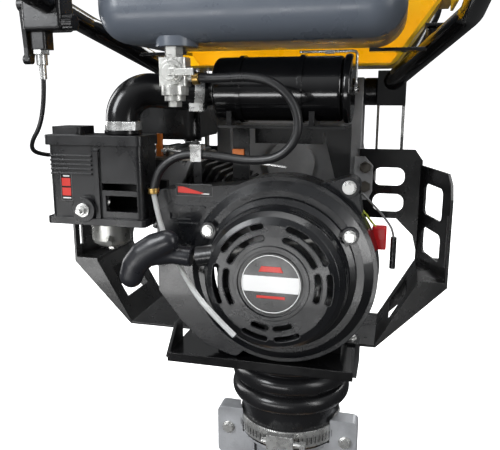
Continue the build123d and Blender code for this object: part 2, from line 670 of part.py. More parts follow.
def starter_handle():
    """Curved T grip with its rope stub running straight into the recoil nozzle."""
    path = ThreePointArc((-124, 0, -4), (-107, 0, 24), (-74, 0, 46))
    start = Plane(origin=path @ 0, z_dir=path % 0)
    grip = sweep(start * Ellipse(9.5, 11), path=path)
    for t in (0, 1):
        grip += Pos(*tuple(path @ t)) * Sphere(9.6)
    stem = rod(11, (-61.6, 3, 19.1), (-84, -3, 22)) + rod(8.5, (-80, -3, 21), (-104, -6, 24))
    stem += slab_y([(-72, 12), (-70, 36), (-80, 42), (-108, 20), (-116, 2), (-100, 6)], -13, 1)
    return Pos(0, FACE_Y + 10, 0) * (Pos(0, -7, 0) * grip + stem)


def starter_rope():
    return rod(ROPE_R, *ROPE)


# ================================================================ intake and exhaust
def carburettor():
    body = block(CARB_X - 19, CARB_X + 19, CARB_Y - 13, CARB_Y + 13, CARB_Z - 24, CARB_Z + 24, 6)
    body += rod_y(20, CARB_Y - 16.5, CARB_Y + 14, CARB_X, CARB_Z)
    body += rod_z(9, CARB_Z + 24, CARB_Z + 34, CARB_X - 4, CARB_Y)
    body -= rod_y(11, CARB_Y - 18, CARB_Y + 15, CARB_X, CARB_Z)
    return body


def intake_spacer():
    plate = slab_y([(CARB_X - 22, CARB_Z - 23), (CARB_X + 20, CARB_Z - 23), (-126, 44), (-126, 88),
                    (CARB_X + 20, CARB_Z + 26), (CARB_X - 22, CARB_Z + 24)], CARB_Y + 14, CARB_Y + 23)
    plate -= rod_y(11, CARB_Y + 13, CARB_Y + 24, CARB_X, CARB_Z)
    return plate


def float_bowl():
    bowl = spun([(0, 8), (17, 8), (23, 12), (25, 16), (25, 36), (27, 36), (27, 41.9), (0, 41.9)],
                (CARB_X, CARB_Y))
    bowl += hex_head(6.5, (CARB_X, CARB_Y, 2), (CARB_X, CARB_Y, 8))
    bowl += hex_head(4.5, (CARB_X + 8, CARB_Y - 22, 20), (CARB_X + 11, CARB_Y - 32, 16))
    return bowl


def choke_lever():
    z = CARB_Z + 34.3
    lever = rod_z(7, z, z + 3, CARB_X - 4, CARB_Y)
    lever += block(CARB_X - 40, CARB_X - 4, CARB_Y - 4.5, CARB_Y + 4.5, z, z + 3)
    lever += rod_z(6.5, z - 2, z + 7, CARB_X - 40, CARB_Y)
    return lever


def air_box():
    body = block(BOX_X0 + 2, BOX_X1 - 2, BOX_Y0, BOX_Y1, BOX_Z0 + 8, BOX_Z1)
    body = fillet(body.edges().filter_by(Axis.Z), 7)
    body += block(BOX_X0 - 2, BOX_X1 + 2, BOX_Y0 - 4, BOX_Y1, BOX_Z0, BOX_Z0 + 8, 5)
    body -= block(BOX_X0 + 6, BOX_X1 - 6, BOX_Y0 + 4, BOX_Y1 - 3, BOX_Z0 + 14, BOX_Z1 + 1)
    for i in range(5):
        z = 103 + 5 * i
        body += block(BOX_X0 + 6, BOX_X0 + 57, BOX_Y0 - 2.5, BOX_Y0 + 1, z, z + 1.8)
    body += block(BOX_X0 + 60, BOX_X0 + 66, BOX_Y0 - 3, BOX_Y0 + 1, BOX_Z0 + 8, BOX_Z1 - 4)
    body += rod_y(14, BOX_Y0 - 8, BOX_Y0 + 1, BOX_X0 + 47, 64)
    body -= block(BOX_X0 + 68, BOX_X1 - 8, BOX_Y0 - 1, BOX_Y0 + 5, 86, 94)
    body -= block(BOX_X0 + 72, BOX_X1 - 8, BOX_Y0 - 1, BOX_Y0 + 5, 62, 80)
    body -= rod_y(10, BOX_Y1 - 5, BOX_Y1 + 1, CARB_X, CARB_Z + 2)
    return body


def air_box_lid():
    lid = block(BOX_X0 - 1, BOX_X1 + 1, BOX_Y0 - 4, BOX_Y1, BOX_Z1, BOX_Z1 + 11, 7)
    lid += block(BOX_X0 + 5, BOX_X0 + 42, BOX_Y0 + 4, BOX_Y1 - 6, BOX_Z1 + 10, BOX_Z1 + 20, 5)
    lid += rod_z(15.9, BOX_Z1 + 10, BOX_Z1 + 28, NECK_X, NECK_Y)
    lid -= rod_z(13, BOX_Z1 - 1, BOX_Z1 + 29, NECK_X, NECK_Y)
    return lid


def box_nut():
    x, z = BOX_X0 + 47, 64
    nut = rod_y(8, BOX_Y0 - 9.6, BOX_Y0 - 8, x, z)
    nut += hex_head(5.6, (x, BOX_Y0 - 15, z), (x, BOX_Y0 - 9.6, z))
    nut += rod_y(3, BOX_Y0 - 20, BOX_Y0 - 15, x, z)
    return nut


def intake_elbow():
    route = [(NECK_X, NECK_Y, BOX_Z1 + 12), (NECK_X, NECK_Y, CAN_Z + 1), SPIGOT[0]]
    wire = FilletPolyline(*[Vector(*p) for p in route], radius=32)
    start = Plane(origin=wire @ 0, z_dir=wire % 0)
    outer = sweep(start * Circle(19), path=wire)
    run = (Vector(*route[2]) - Vector(*route[1])).normalized()
    tip = Vector(*route[2]) + run * 13
    outer += rod(19, route[2], tuple(tip))
    outer += rod_z(21, BOX_Z1 + 12, BOX_Z1 + 16, NECK_X, NECK_Y)
    outer -= rod_z(16, BOX_Z1 + 10, BOX_Z1 + 29, NECK_X, NECK_Y)
    outer -= can_spigot()
    return outer


def can_spigot():
    return rod(16, *SPIGOT)


def worm_band(p0, p1, r, side):
    band = rod(r + 1.2, p0, p1) - rod(r, p0, p1)
    mid = (Vector(*p0) + Vector(*p1)) * 0.5
    reach = (Vector(*p1) - Vector(*p0)).normalized() * 14
    lug = Pos(*tuple(mid + Vector(*side) * (r + 5))) * Box(16, 9, 9)
    lug -= rod(r + 0.1, tuple(mid - reach), tuple(mid + reach))
    return band + lug


def hose_clamps():
    low = worm_band((NECK_X, NECK_Y, BOX_Z1 + 16.4), (NECK_X, NECK_Y, BOX_Z1 + 26), 19, (0.7, -0.7, 0))
    a = Vector(*SPIGOT[0])
    d = (a - Vector(NECK_X, NECK_Y, CAN_Z + 1)).normalized()
    high = worm_band(tuple(a - d * 2), tuple(a + d * 9), 19, (0.2, -0.7, -0.6))
    return [low, high]


def air_canister():
    body = rod_x(CAN_R, CAN_X0, CAN_X1, CAN_Y, CAN_Z)
    body = fillet(body.edges().filter_by(GeomType.CIRCLE), 5)
    body -= rod_x(CAN_R - 2.5, CAN_X0 + 3, CAN_X1 + 1, CAN_Y, CAN_Z)
    for x in (CAN_X0 + 28, CAN_X0 + 96):
        body += rod_x(CAN_R + 1.8, x, x + 5, CAN_Y, CAN_Z) - rod_x(CAN_R - 2, x - 1, x + 6, CAN_Y, CAN_Z)
    body += can_spigot() - rod_x(CAN_R - 1, CAN_X0 + 1, CAN_X1, CAN_Y, CAN_Z)
    body -= rod(13, (CAN_X0 - 42, CAN_Y - 16, CAN_Z - 7.5), SPIGOT[1])
    for i in range(4):
        slit = block(CAN_X0 + 6, CAN_X0 + 24, -3, 3, CAN_R - 6, CAN_R + 2)
        cut = Pos(0, CAN_Y, CAN_Z) * Rot(X=-38 + 16 * i) * slit
        body -= cut
    return body


def canister_cap():
    cap = rod_x(CAN_R + 2, CAN_X1, CAN_X1 + 9, CAN_Y, CAN_Z)
    cap = fillet(cap.edges().filter_by(GeomType.CIRCLE), 3.5)
    cap += rod_x(CAN_R - 4, CAN_X1 - 8, CAN_X1 + 1, CAN_Y, CAN_Z)
    cap += rod_x(3, CAN_X1 + 8, CAN_X1 + 15, CAN_Y, CAN_Z)
    return cap


def air_filter():
    core = rod_x(28, CAN_X0 + 8, CAN_X1 - 10, CAN_Y, CAN_Z) - rod_x(15, CAN_X0 + 12, CAN_X1 - 9, CAN_Y, CAN_Z)
    return core


def wire_latch():
    """Wire catch on a stud at the middle of the cap; it swings round the canister axis."""
    x = CAN_X1 + 12
    pts = [(CAN_X1 - 50, CAN_Y, CAN_Z + CAN_R + 4.5), (x, CAN_Y, CAN_Z + CAN_R + 4.5), (x, CAN_Y, CAN_Z + 5)]
    wire = FilletPolyline(*[Vector(*p) for p in pts], radius=4)
    start = Plane(origin=wire @ 0, z_dir=wire % 0)
    latch = sweep(start * Circle(1.5), path=wire)
    latch += rod_x(6, x - 1.5, x + 1.5, CAN_Y, CAN_Z)
    latch += block(CAN_X1 - 22, CAN_X1 - 12, CAN_Y - 5, CAN_Y + 5, CAN_Z + CAN_R + 2.3, CAN_Z + CAN_R + 5.8)
    latch -= rod_x(3.08, x - 2, x + 2, CAN_Y, CAN_Z)
    return latch


def canister_tray():
    tray = block(CAN_X0 + 10, CAN_X1 + 6, CAN_Y - 36, CAN_Y + 40, 155, 158)
    for x in (CAN_X0 + 16, CAN_X0 + 108):
        saddle = block(x, x + 6, CAN_Y - 26, CAN_Y + 26, 157, 176)
        tray += saddle - rod_x(CAN_R + 0.1, x - 1, x + 7, CAN_Y, CAN_Z)
    web = slab_y([(CAN_X1 - 28, 156), (CAN_X1 + 6, 156), (CAN_X1 + 6, 66), (CAN_X1 - 4, 66)],
                 CAN_Y + 36, CAN_Y + 40)
    tray += web
    tray += block(CAN_X0 + 34, CAN_X1 - 26, CAN_Y + 36, CAN_Y + 40, 134, 156)
    tray += block(CX + 34, CAN_X1 + 6, CAN_Y + 36, CAN_Y + 60, 66, 70)
    tray += block(CAN_X0 + 14, CAN_X0 + 34, -187.7, -184.7, 66, 156)
    tray -= rod_z(6, 150, 160, CAN_X1 - 24, CAN_Y - 24)
    return tray


def muffler():
    body = soft_block(-172, -96, -160, -84, 136, 188, 12)
    body += rod_z(12, 132, 138, -118, -112)
    body += rod_y(9, -84, -72, -150, 164)
    body -= rod_y(7, -90, -70, -150, 164)
    return body


def muffler_shield():
    """Rounded heat shield over the front, top and sides of the muffler."""
    shield = soft_block(-177, -91, -169, -76, 131, 193, 14)
    shield -= soft_block(-174.5, -93.5, -166.5, -70, 120, 190.5, 11.5)
    shield -= block(-180, -88, -88, -70, 130, 195)
    shield -= block(-180, -88, -150, -70, 130, 140)
    for i in range(5):
        x = -166 + 14 * i
        shield -= block(x, x + 7, -150, -104, 186, 195)
    return shield


# ================================================================ frames and guards
def base_plate():
    top = PLATE_Z + PLATE_T
    plate = block(-106, 112, -246, -99, PLATE_Z, top)
    plate += block(-106, 112, -250, -246, PLATE_Z - 3, top + 2)
    plate += slab_x([(-246, PLATE_Z), (-196, PLATE_Z), (-196, -84), (-214, -84)], -110, -106)
    plate += slab_x([(-246, PLATE_Z), (-196, PLATE_Z), (-196, -88), (-218, -88)], 112, 116)
    for x in FOOT_X:
        for y in FOOT_Y:
            plate -= rod_z(4.5, PLATE_Z - 1, top + 1, x, y)
    for s in (-1, 1):
        for y in GUARD_Y:
            plate -= rod_z(4.3, PLATE_Z - 1, top + 1, s * 102, y)
    plate -= rod_z(12, PLATE_Z - 1, top + 1, CX - 4, -222)
    return plate


def mirrored(solid, s):
    return mirror(solid, Plane.YZ) if s < 0 else solid


def guard(s, wall_x, rear_x, low_x, top_z):
    """Bent sheet guard: pierced back panel, windowed side wall and slanting lower panel."""
    t = 3.0
    y0, y1 = -172.0, -63.0
    x_in = 99.0
    foot_z = PLATE_Z + PLATE_T
    part = slab_y([(x_in, 30), (rear_x - 30, 30), (rear_x - 8, 8), (rear_x, -24), (rear_x, 108),
                   (rear_x - 10, top_z), (x_in, top_z)], y1, y1 + t)
    for z0, z1 in ((74, 98), (39, 63)):
        slot = block(x_in + 19, rear_x - 22, y1 - 1, y1 + t + 1, z0, z1)
        part -= fillet(slot.edges().filter_by(Axis.Y), 10)
    for z in (72, 98):
        part -= rod_y(5.2, y1 - 1, y1 + t + 1, LUG_X, z)
    wall = make_face(Polyline((rear_x - t, y1 + t, 0), (rear_x, y1 + t, 0), (wall_x, y0 + 14, 0),
                              (wall_x, y0, 0), (wall_x - t, y0, 0), (wall_x - t, y0 + 14, 0), close=True))
    side_wall = extrude(Pos(0, 0, -24) * wall, amount=126, dir=(0, 0, 1))
    side_wall -= slab_x([(y0 - 1, 74), (y0 + 26, 104), (y0 - 1, 104)], 0, 400)
    for z0, z1 in ((42, 82), (-8, 26)):
        win = block(rear_x - 20, wall_x + 20, y0 + 34, y1 - 16, z0, z1)
        side_wall -= fillet(win.edges().filter_by(Axis.X), 8)
    slot = block(rear_x - 20, wall_x + 20, y0 + 11, y0 + 17, -8, 56)
    side_wall -= fillet(slot.edges().filter_by(Axis.X), 2.5)
    part += side_wall
    low = slab_y([(wall_x, -22), (wall_x, -28), (low_x, foot_z), (x_in, foot_z), (x_in, foot_z + t),
                  (low_x - 1.5, foot_z + t), (rear_x - t, -25), (rear_x - t, -22)], y0, y1 + t)
    low -= block(low_x + 14, rear_x - 12, y0 + 24, y1 - 20, -140, 0)
    for y in GUARD_Y:
        low -= rod_z(4.3, -120, -96, 102, y)
    part += low
    part -= rod_z(RIB_R + 5, -130, -66)
    return mirrored(part, s)


def guard_bolts():
    out = []
    for s in (-1, 1):
        for z in (72, 98):
            out.append(bolt_y(s * LUG_X, z, -63, -40, r=5, head=8, k=5.5))
        for y in GUARD_Y:
            out.append(bolt_z(s * 102, y, PLATE_Z + PLATE_T + 3, PLATE_Z - 4, r=4, head=6.5))
    return out


# ================================================================ small engine fittings
def control_bracket():
    """Sheet bracket behind the air box that carries the governor arm pivot."""
    plate = block(-186, -76, -213, -184, 116, 119)
    plate += block(-86, -76, -200, -197, 66, 118)
    plate += block(-190, -186, -213, -190, 110, 134) - rod_x(3, -191, -185, -199, 125)
    plate += rod_z(6, 119, 125, -118, -192) + rod_z(6, 119, 123, -92, -191)
    plate += rod_z(2, 123, 133, -92, -191)
    plate += rod_z(3, 125, 131, -118, -192)
    return plate


def governor_arm():
    """Arm with its long throttle rod."""
    arm = rod_z(7, 125.3, 129, -118, -192) - rod_z(3.08, 125, 130, -118, -192)
    arm += block(-121, -115, -213, -198, 126, 128.5)
    arm += rod(1.6, (-118, -210, 128.5), (30, -223, 113))
    return arm


def stop_connector():
    """Red spade housing and the black sleeve of the stop lead."""
    return [soft_block(124, 140, -204, -190, 21, 47, 2), rod_z(3.4, -1, 35, 148, -197)]


def hose_clip():
    """Square spring clip that ties the fuel hose to the shroud."""
    clip = block(-66, -54, -266, -252, 121, 139) - block(-67, -53, -264.2, -253.8, 123.2, 136.8)
    return clip


# ================================================================ handle, hood and tank
def side_route(s):
    return [(s * 136, -60, 208), (s * BAR_X, -200, BAR_Z), (s * BAR_X, -330, BAR_Z + 22),
            (s * BAR_X, GRIP_Y, GRIP_Z), (0, GRIP_Y, GRIP_Z)]


def pipe(points, radius, bend):
    wire = FilletPolyline(*[Vector(*p) for p in points], radius=bend)
    start = Plane(origin=wire @ 0, z_dir=wire % 0)
    return sweep(start * Circle(radius), path=wire)


def handle_bracket(s):
    """Open channel that carries the handle on one rubber mount."""
    part = block(MOUNT_X1, 154, -66, 14, 178, 222)
    part -= block(MOUNT_X1 + 4, 150, -62, 10, 170, 217)
    part += slab_x([(-53, 180), (-24, 180), (-24, 138), (-40, 116), (-53, 138)], 150, 154)
    part += block(MOUNT_X1, MOUNT_X1 + 3, -53, -40, 114, 180)
    part -= rod_x(6, MOUNT_X1 - 4, MOUNT_X1 + 8, MOUNT_Y, MOUNT_Z)
    part -= rod_z(5, 214, 224, 136, -8)
    return mirrored(part, s)


def lifting_eye():
    eye = Pos(60, 46, 378) * (rod_y(20, -6, 6, 0, 0) - rod_y(12, -7, 7, 0, 0))
    eye += block(48, 72, 38, 54, 352, 363)
    return eye


def handle_frame():
    """Bent tube loop with its front hoop, brackets, tank cradle, roller lugs and lifting eye."""
    left, right = side_route(-1), side_route(1)
    frame = pipe(left[:4] + right[:4][::-1], TUBE, 40)
    frame += pipe([(-138, 0, 210), (-208, 46, 350), (208, 46, 350), (138, 0, 210)], TUBE, 40)
    for s in (-1, 1):
        frame += handle_bracket(s)
        frame += mirrored(block(170, 200, -134, -104, 267, 270), s)
        frame += mirrored(block(110, 184, -150, -128, TANK_Z0 - 4, TANK_Z0), s)
        frame += mirrored(slab_x([(-138, 246), (-130, 246), (-108, 269), (-116, 269)], 190, 193), s)
        frame += mirrored(slab_x([(42, 346), (78, 362), (90, 376), (82, 388), (66, 386), (42, 362)],
                                 20.5, 26), s)
    frame += lifting_eye()
    frame -= rod_x(4.1, -30, 30, ROLLER_Y, ROLLER_Z)
    return frame


def rubber_mounts():
    out = []
    for s in (-1, 1):
        pad = rod_x(18, s * (MOUNT_X0 + 0.4), s * MOUNT_X1, MOUNT_Y, MOUNT_Z)
        out.append(fillet(pad.edges().filter_by(GeomType.CIRCLE), 2.5))
    return out


def hood():
    """Painted trough behind the tank, closed at the front, with wings past the tank ends."""
    shell = slab_y([(-138, 226), (138, 226), (204, 322), (-204, 322)], HOOD_Y0, HOOD_Y1)
    shell = fillet(shell.edges().filter_by(Axis.Y).sort_by(Axis.Z)[0:2], 16)
    shell -= slab_y([(-134, 229), (134, 229), (201.5, 325), (-201.5, 325)], HOOD_Y0 - 1, HOOD_Y1 - HOOD_T)
    for s in (-1, 1):
        wing = slab_x([(-190, 300), (-176, 286), (HOOD_Y0 + 1, 286), (HOOD_Y0 + 1, 322),
                       (-182, 334), (-190, 330)],
                      198, 201)
        wing += slab_x([(HOOD_Y0, 300), (HOOD_Y1, 300), (HOOD_Y1, 322), (HOOD_Y0, 322)], 190, 201.5)
        shell += mirrored(wing, s)
    return shell


def fuel_tank():
    x0, x1 = TANK_CX - TANK_X, TANK_CX + TANK_X
    tank = soft_block(x0, x1, TANK_Y0, TANK_Y1, TANK_Z0, TANK_Z1, 34)
    hollow = soft_block(x0 + 2, x1 - 2, TANK_Y0 + 2, TANK_Y1 - 2, TANK_Z0 + 2, TANK_Z1 - 2, 32)
    tank += rod_z(22, TANK_Z0 - 4, TANK_Z0 + 6, VALVE_X, VALVE_Y + 10)
    tank += rod_z(26, TANK_Z1 - 2, TANK_Z1 + 10, 60, -200)
    tank -= hollow
    tank -= rod_z(22, TANK_Z1 - 4, TANK_Z1 + 11, 60, -200)
    tank -= rod_z(6, TANK_Z0 - 5, TANK_Z0 + 10, VALVE_X, VALVE_Y)
    return tank


def fuel_cap():
    cap = rod_z(30, TANK_Z1 + 10.3, TANK_Z1 + 28, 60, -200)
    for i in range(12):
        a = radians(30 * i)
        cap -= rod_z(3, TANK_Z1 + 12, TANK_Z1 + 26, 60 + 31 * cos(a), -200 + 31 * sin(a))
    cap += rod_z(21.6, TANK_Z1 + 2, TANK_Z1 + 11, 60, -200)
    return cap


def fuel_valve():
    body = rod_z(5.9, 228, TANK_Z0 + 8, VALVE_X, VALVE_Y)
    body += hex_head(10, (VALVE_X, VALVE_Y, 228), (VALVE_X, VALVE_Y, TANK_Z0 - 4.2))
    body += block(VALVE_X - 15, VALVE_X + 15, VALVE_Y - 8, VALVE_Y + 12, 199, 228, 4)
    body += rod_y(13, VALVE_Y - 10, VALVE_Y + 12, VALVE_X, 213)
    body += rod_z(14, 190, 200, VALVE_X, VALVE_Y) + rod_z(11, 184, 190, VALVE_X, VALVE_Y)
    body += hex_head(7.5, (VALVE_X, VALVE_Y, 178), (VALVE_X, VALVE_Y, 184))
    body += rod_x(3.2, VALVE_X + 14, FUEL_ROUTE[0][0], VALVE_Y, FUEL_ROUTE[0][2])
    return body


def fuel_lever():
    lever = rod_y(8.5, VALVE_Y - 16, VALVE_Y - 10.3, VALVE_X, 213)
    lever += block(VALVE_X, VALVE_X + 27, VALVE_Y - 18.3, VALVE_Y - 14.3, 209.5, 216.5)
    return lever


def throttle_housing():
    body = block(-242, -196, -288, -260, 256, 300)
    body = fillet(body.edges(), 4)
    body += block(-238, -220, -281, -263, 238, 258, 3)
    route = side_route(-1)
    body -= rod(TUBE, route[1], route[2])
    body -= rod_x(3.1, -244, -236, -276, 284)
    return body


def throttle_ferrule():
    x, y = CABLE_ROUTE[0][:2]
    nut = hex_head(9, (x, y, 233), (x, y, 237.8)) + rod_z(6, 222, 233, x, y)
    nut += rod_z(4, 207.2, 222, x, y)
    return nut


def throttle_lever():
    lever = rod_x(7.5, -250, -242.4, -276, 284)
    lever += rod_x(3, -243, -237, -276, 284)
    lever += slab_x([(-282, 286), (-270, 286), (-264, 236), (-268, 226), (-278, 226), (-278, 240)],
                    -248.5, -243.5)
    lever += rod_x(5, -251, -242.5, -273, 228)
    return lever


def friction_knob():
    knob = rod_x(8.5, -195.6, -184, -280, 264)
    for i in range(10):
        a = radians(36 * i)
        knob -= rod_x(1.4, -196, -183, -280 + 8.8 * cos(a), 264 + 8.8 * sin(a))
    return knob


def hand_grip():
    """Rubber sleeve over the cross bar."""
    grip = rod_x(16, -150, 150, GRIP_Y, GRIP_Z) - rod_x(TUBE, -151, 151, GRIP_Y, GRIP_Z)
    for i in range(24):
        x = -138 + 12 * i
        grip += rod_x(17, x, x + 5, GRIP_Y, GRIP_Z) - rod_x(15, x - 1, x + 6, GRIP_Y, GRIP_Z)
    return grip


def roller():
    wheel = rod_x(24, -18, 18, ROLLER_Y, ROLLER_Z) - rod_x(4.3, -19, 19, ROLLER_Y, ROLLER_Z)
    return fillet(wheel.edges().filter_by(GeomType.CIRCLE).group_by(SortBy.RADIUS)[-1], 4)


def roller_pin():
    return rod_x(4, -29.5, 29.5, ROLLER_Y, ROLLER_Z)


def bumpers():
    out = []
    for s in (-1, 1):
        pad = rod_z(8, 255, 267, s * 180, -113)
        out.append(fillet(pad.edges().filter_by(GeomType.CIRCLE), 2))
    return out


# ================================================================ shoe
def shoe_body():
    body = block(-SHOE_X + 6, SHOE_X - 6, -SHOE_Y + 13, SHOE_Y - 40, SOLE_T, SHOE_TOP, 22)
    for sx in (-1, 1):
        for sy in (-1, 1):
            body -= rod_z(7.3, 0, 100, sx * SHOE_BOLT_X, sy * SHOE_BOLT_Y)
    return body


def sole_plate():
    t = SOLE_T
    profile = [(-SHOE_Y, 14), (-SHOE_Y + 4, 5), (-SHOE_Y + 14, 0), (SHOE_Y - 34, 0), (SHOE_Y - 14, 8),
               (SHOE_Y, 30), (SHOE_Y - 4, 34), (SHOE_Y - 20, 14), (SHOE_Y - 36, t), (-SHOE_Y + 10, t),
               (-SHOE_Y + 6, 17)]
    plate = slab_x(profile, -SHOE_X, SHOE_X)
    for sx in (-1, 1):
        for sy in (-1, 1):
            plate -= rod_z(7.3, -1, 20, sx * SHOE_BOLT_X, sy * SHOE_BOLT_Y)
            plate -= rod_z(12, -1, 4.2, sx * SHOE_BOLT_X, sy * SHOE_BOLT_Y)
    return plate


def shoe_bolts():
    out = []
    for sx in (-1, 1):
        for sy in (-1, 1):
            x, y = sx * SHOE_BOLT_X, sy * SHOE_BOLT_Y
            one = rod_z(7, 1, FLANGE_TOP + 18, x, y) + rod_z(11.5, 1, 4, x, y)
            one += hex_head(12.5, (x, y, FLANGE_TOP + 3), (x, y, FLANGE_TOP + 14))
            one += rod_z(14, FLANGE_TOP, FLANGE_TOP + 3, x, y)
            out.append(one)
    return out


# ================================================================ write the nodes
def write_ram():
    """Crankcase, reduction gear, ram and shoe."""
    save("crankcase", crankcase())
    save("crankcase_cover", crankcase_cover())
    save("machine_bolts", *case_bolts(), *guide_bolts(), *engine_bolts(), *guard_bolts())
    save("guide_cylinder", guide_cylinder())
    save("bellows", bellows())
    save("bellows_clamp", bellows_clamp(-326, -300, 0))
    save("leg_casting", MACHINE.inverse() * leg_casting(), spring_cap())
    save("leg_bolts", *leg_bolts(), *[MACHINE.inverse() * bolt for bolt in shoe_bolts()])
    save("ram_springs", coil(PISTON_Z + 10, -130, 28, 9, 6), coil(-505, PISTON_Z - 27, 28, 9, 11))
    save("piston_rod", piston())
    save("connecting_rod", conrod())
    save("crank_gear", crank_gear())
    save("clutch_drum", clutch_drum())
    save("clutch_shoes", *clutch_shoes())
    save("shoe_body", shoe_body(), level=True)
    save("sole_plate", sole_plate(), level=True)


def write_engine():
    """Engine, recoil starter, intake and exhaust."""
    save("engine_block", engine_block())
    save("cylinder_head", cylinder_head())
    save("valve_cover", valve_cover())
    save("engine_screws", *recoil_bolts(), *cover_bolts(), box_nut())
    save("spark_plug", spark_plug(), plug_cap())
    save("crankshaft", crankshaft())
    save("flywheel_fan", flywheel_fan())
    save("blower_shroud", blower_shroud())
    save("recoil_housing", recoil_housing())
    save("badge", badge())
    save("recoil_pulley", recoil_pulley())
    save("starter_handle", starter_handle(), starter_rope())
    save("carburettor", carburettor(), intake_spacer(), control_bracket())
    save("float_bowl", float_bowl())
    save("choke_lever", choke_lever())
    save("governor_arm", governor_arm())
    save("stop_connector", *stop_connector())
    save("air_box", air_box())
    save("air_box_lid", air_box_lid())
    save("intake_elbow", intake_elbow())
    save("worm_clamps", *hose_clamps(), bellows_clamp(-109, -96, 205), hose_clip())
    save("air_canister", air_canister(), air_filter())
    save("canister_cap", canister_cap())
    save("canister_tray", canister_tray())
    save("wire_latch", wire_latch())
    save("muffler", muffler(), muffler_shield())


def write_frame():
    """Plates, handle, hood, tank, controls and cords."""
    save("base_plate", base_plate())
    save("guard_right", guard(1, 211, 180, 133, 122))
    save("guard_left", guard(-1, 268, 238, 190, 122))
    save("handle_frame", handle_frame())
    save("rubber_mounts", *rubber_mounts(), *bumpers())
    save("hood", hood())
    save("fuel_tank", fuel_tank())
    save("fuel_cap", fuel_cap())
    save("fuel_valve", fuel_valve())
    save("fuel_lever", fuel_lever())
    save("throttle_housing", throttle_housing(), throttle_ferrule())
    save("throttle_lever", throttle_lever())
    save("friction_knob", friction_knob())
    save("hand_grip", hand_grip())
    save("transport_roller", roller(), roller_pin())
    save("fuel_hose", cord("fuel_hose", FUEL_ROUTE, FUEL_HOSE_D))
    save("throttle_cable", cord("throttle_cable", CABLE_ROUTE, CABLE_D))
    save("drain_tube", cord("drain_tube", DRAIN_ROUTE, DRAIN_D))


if __name__ == "__main__":
    write_ram()
    write_engine()
    write_frame()
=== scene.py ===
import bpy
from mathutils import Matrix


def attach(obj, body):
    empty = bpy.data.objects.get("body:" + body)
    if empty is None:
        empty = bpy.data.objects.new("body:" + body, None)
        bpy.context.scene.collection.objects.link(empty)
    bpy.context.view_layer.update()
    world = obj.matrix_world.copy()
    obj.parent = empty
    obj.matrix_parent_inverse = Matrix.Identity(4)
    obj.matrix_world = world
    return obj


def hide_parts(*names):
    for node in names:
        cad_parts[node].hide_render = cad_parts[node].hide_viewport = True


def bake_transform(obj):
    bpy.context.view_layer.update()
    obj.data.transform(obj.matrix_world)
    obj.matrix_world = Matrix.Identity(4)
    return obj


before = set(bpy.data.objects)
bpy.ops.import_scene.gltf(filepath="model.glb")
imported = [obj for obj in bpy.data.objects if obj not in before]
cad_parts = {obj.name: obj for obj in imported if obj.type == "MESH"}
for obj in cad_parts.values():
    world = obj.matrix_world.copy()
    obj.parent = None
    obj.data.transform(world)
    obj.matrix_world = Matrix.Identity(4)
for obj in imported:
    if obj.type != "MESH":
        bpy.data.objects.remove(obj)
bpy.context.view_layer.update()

import math

import bmesh
import bpy
from mathutils import Matrix, Vector

# ---------------------------------------------------------------- frame helpers
LEAN = math.radians(11.0)          # the leg leans forward by this much
COS, SIN = math.cos(LEAN), math.sin(LEAN)
CRANK_UP = 600.0                   # crankshaft height along the leg, mm
SHAFT_X = 28.0                     # crankshaft centre, mm
FACE = -290.0                      # front plane of the recoil cover, mm
TILT = Matrix.Rotation(-LEAN, 4, "X")


def at(x, y, z):
    """Machine millimetres (z along the leg from the crankshaft) to row-frame metres."""
    z += CRANK_UP
    return Vector((x, y * COS + z * SIN, -y * SIN + z * COS)) / 1000


def way(x, y, z):
    """Machine direction to a row-frame unit vector."""
    return Vector((x, y * COS + z * SIN, -y * SIN + z * COS)).normalized()


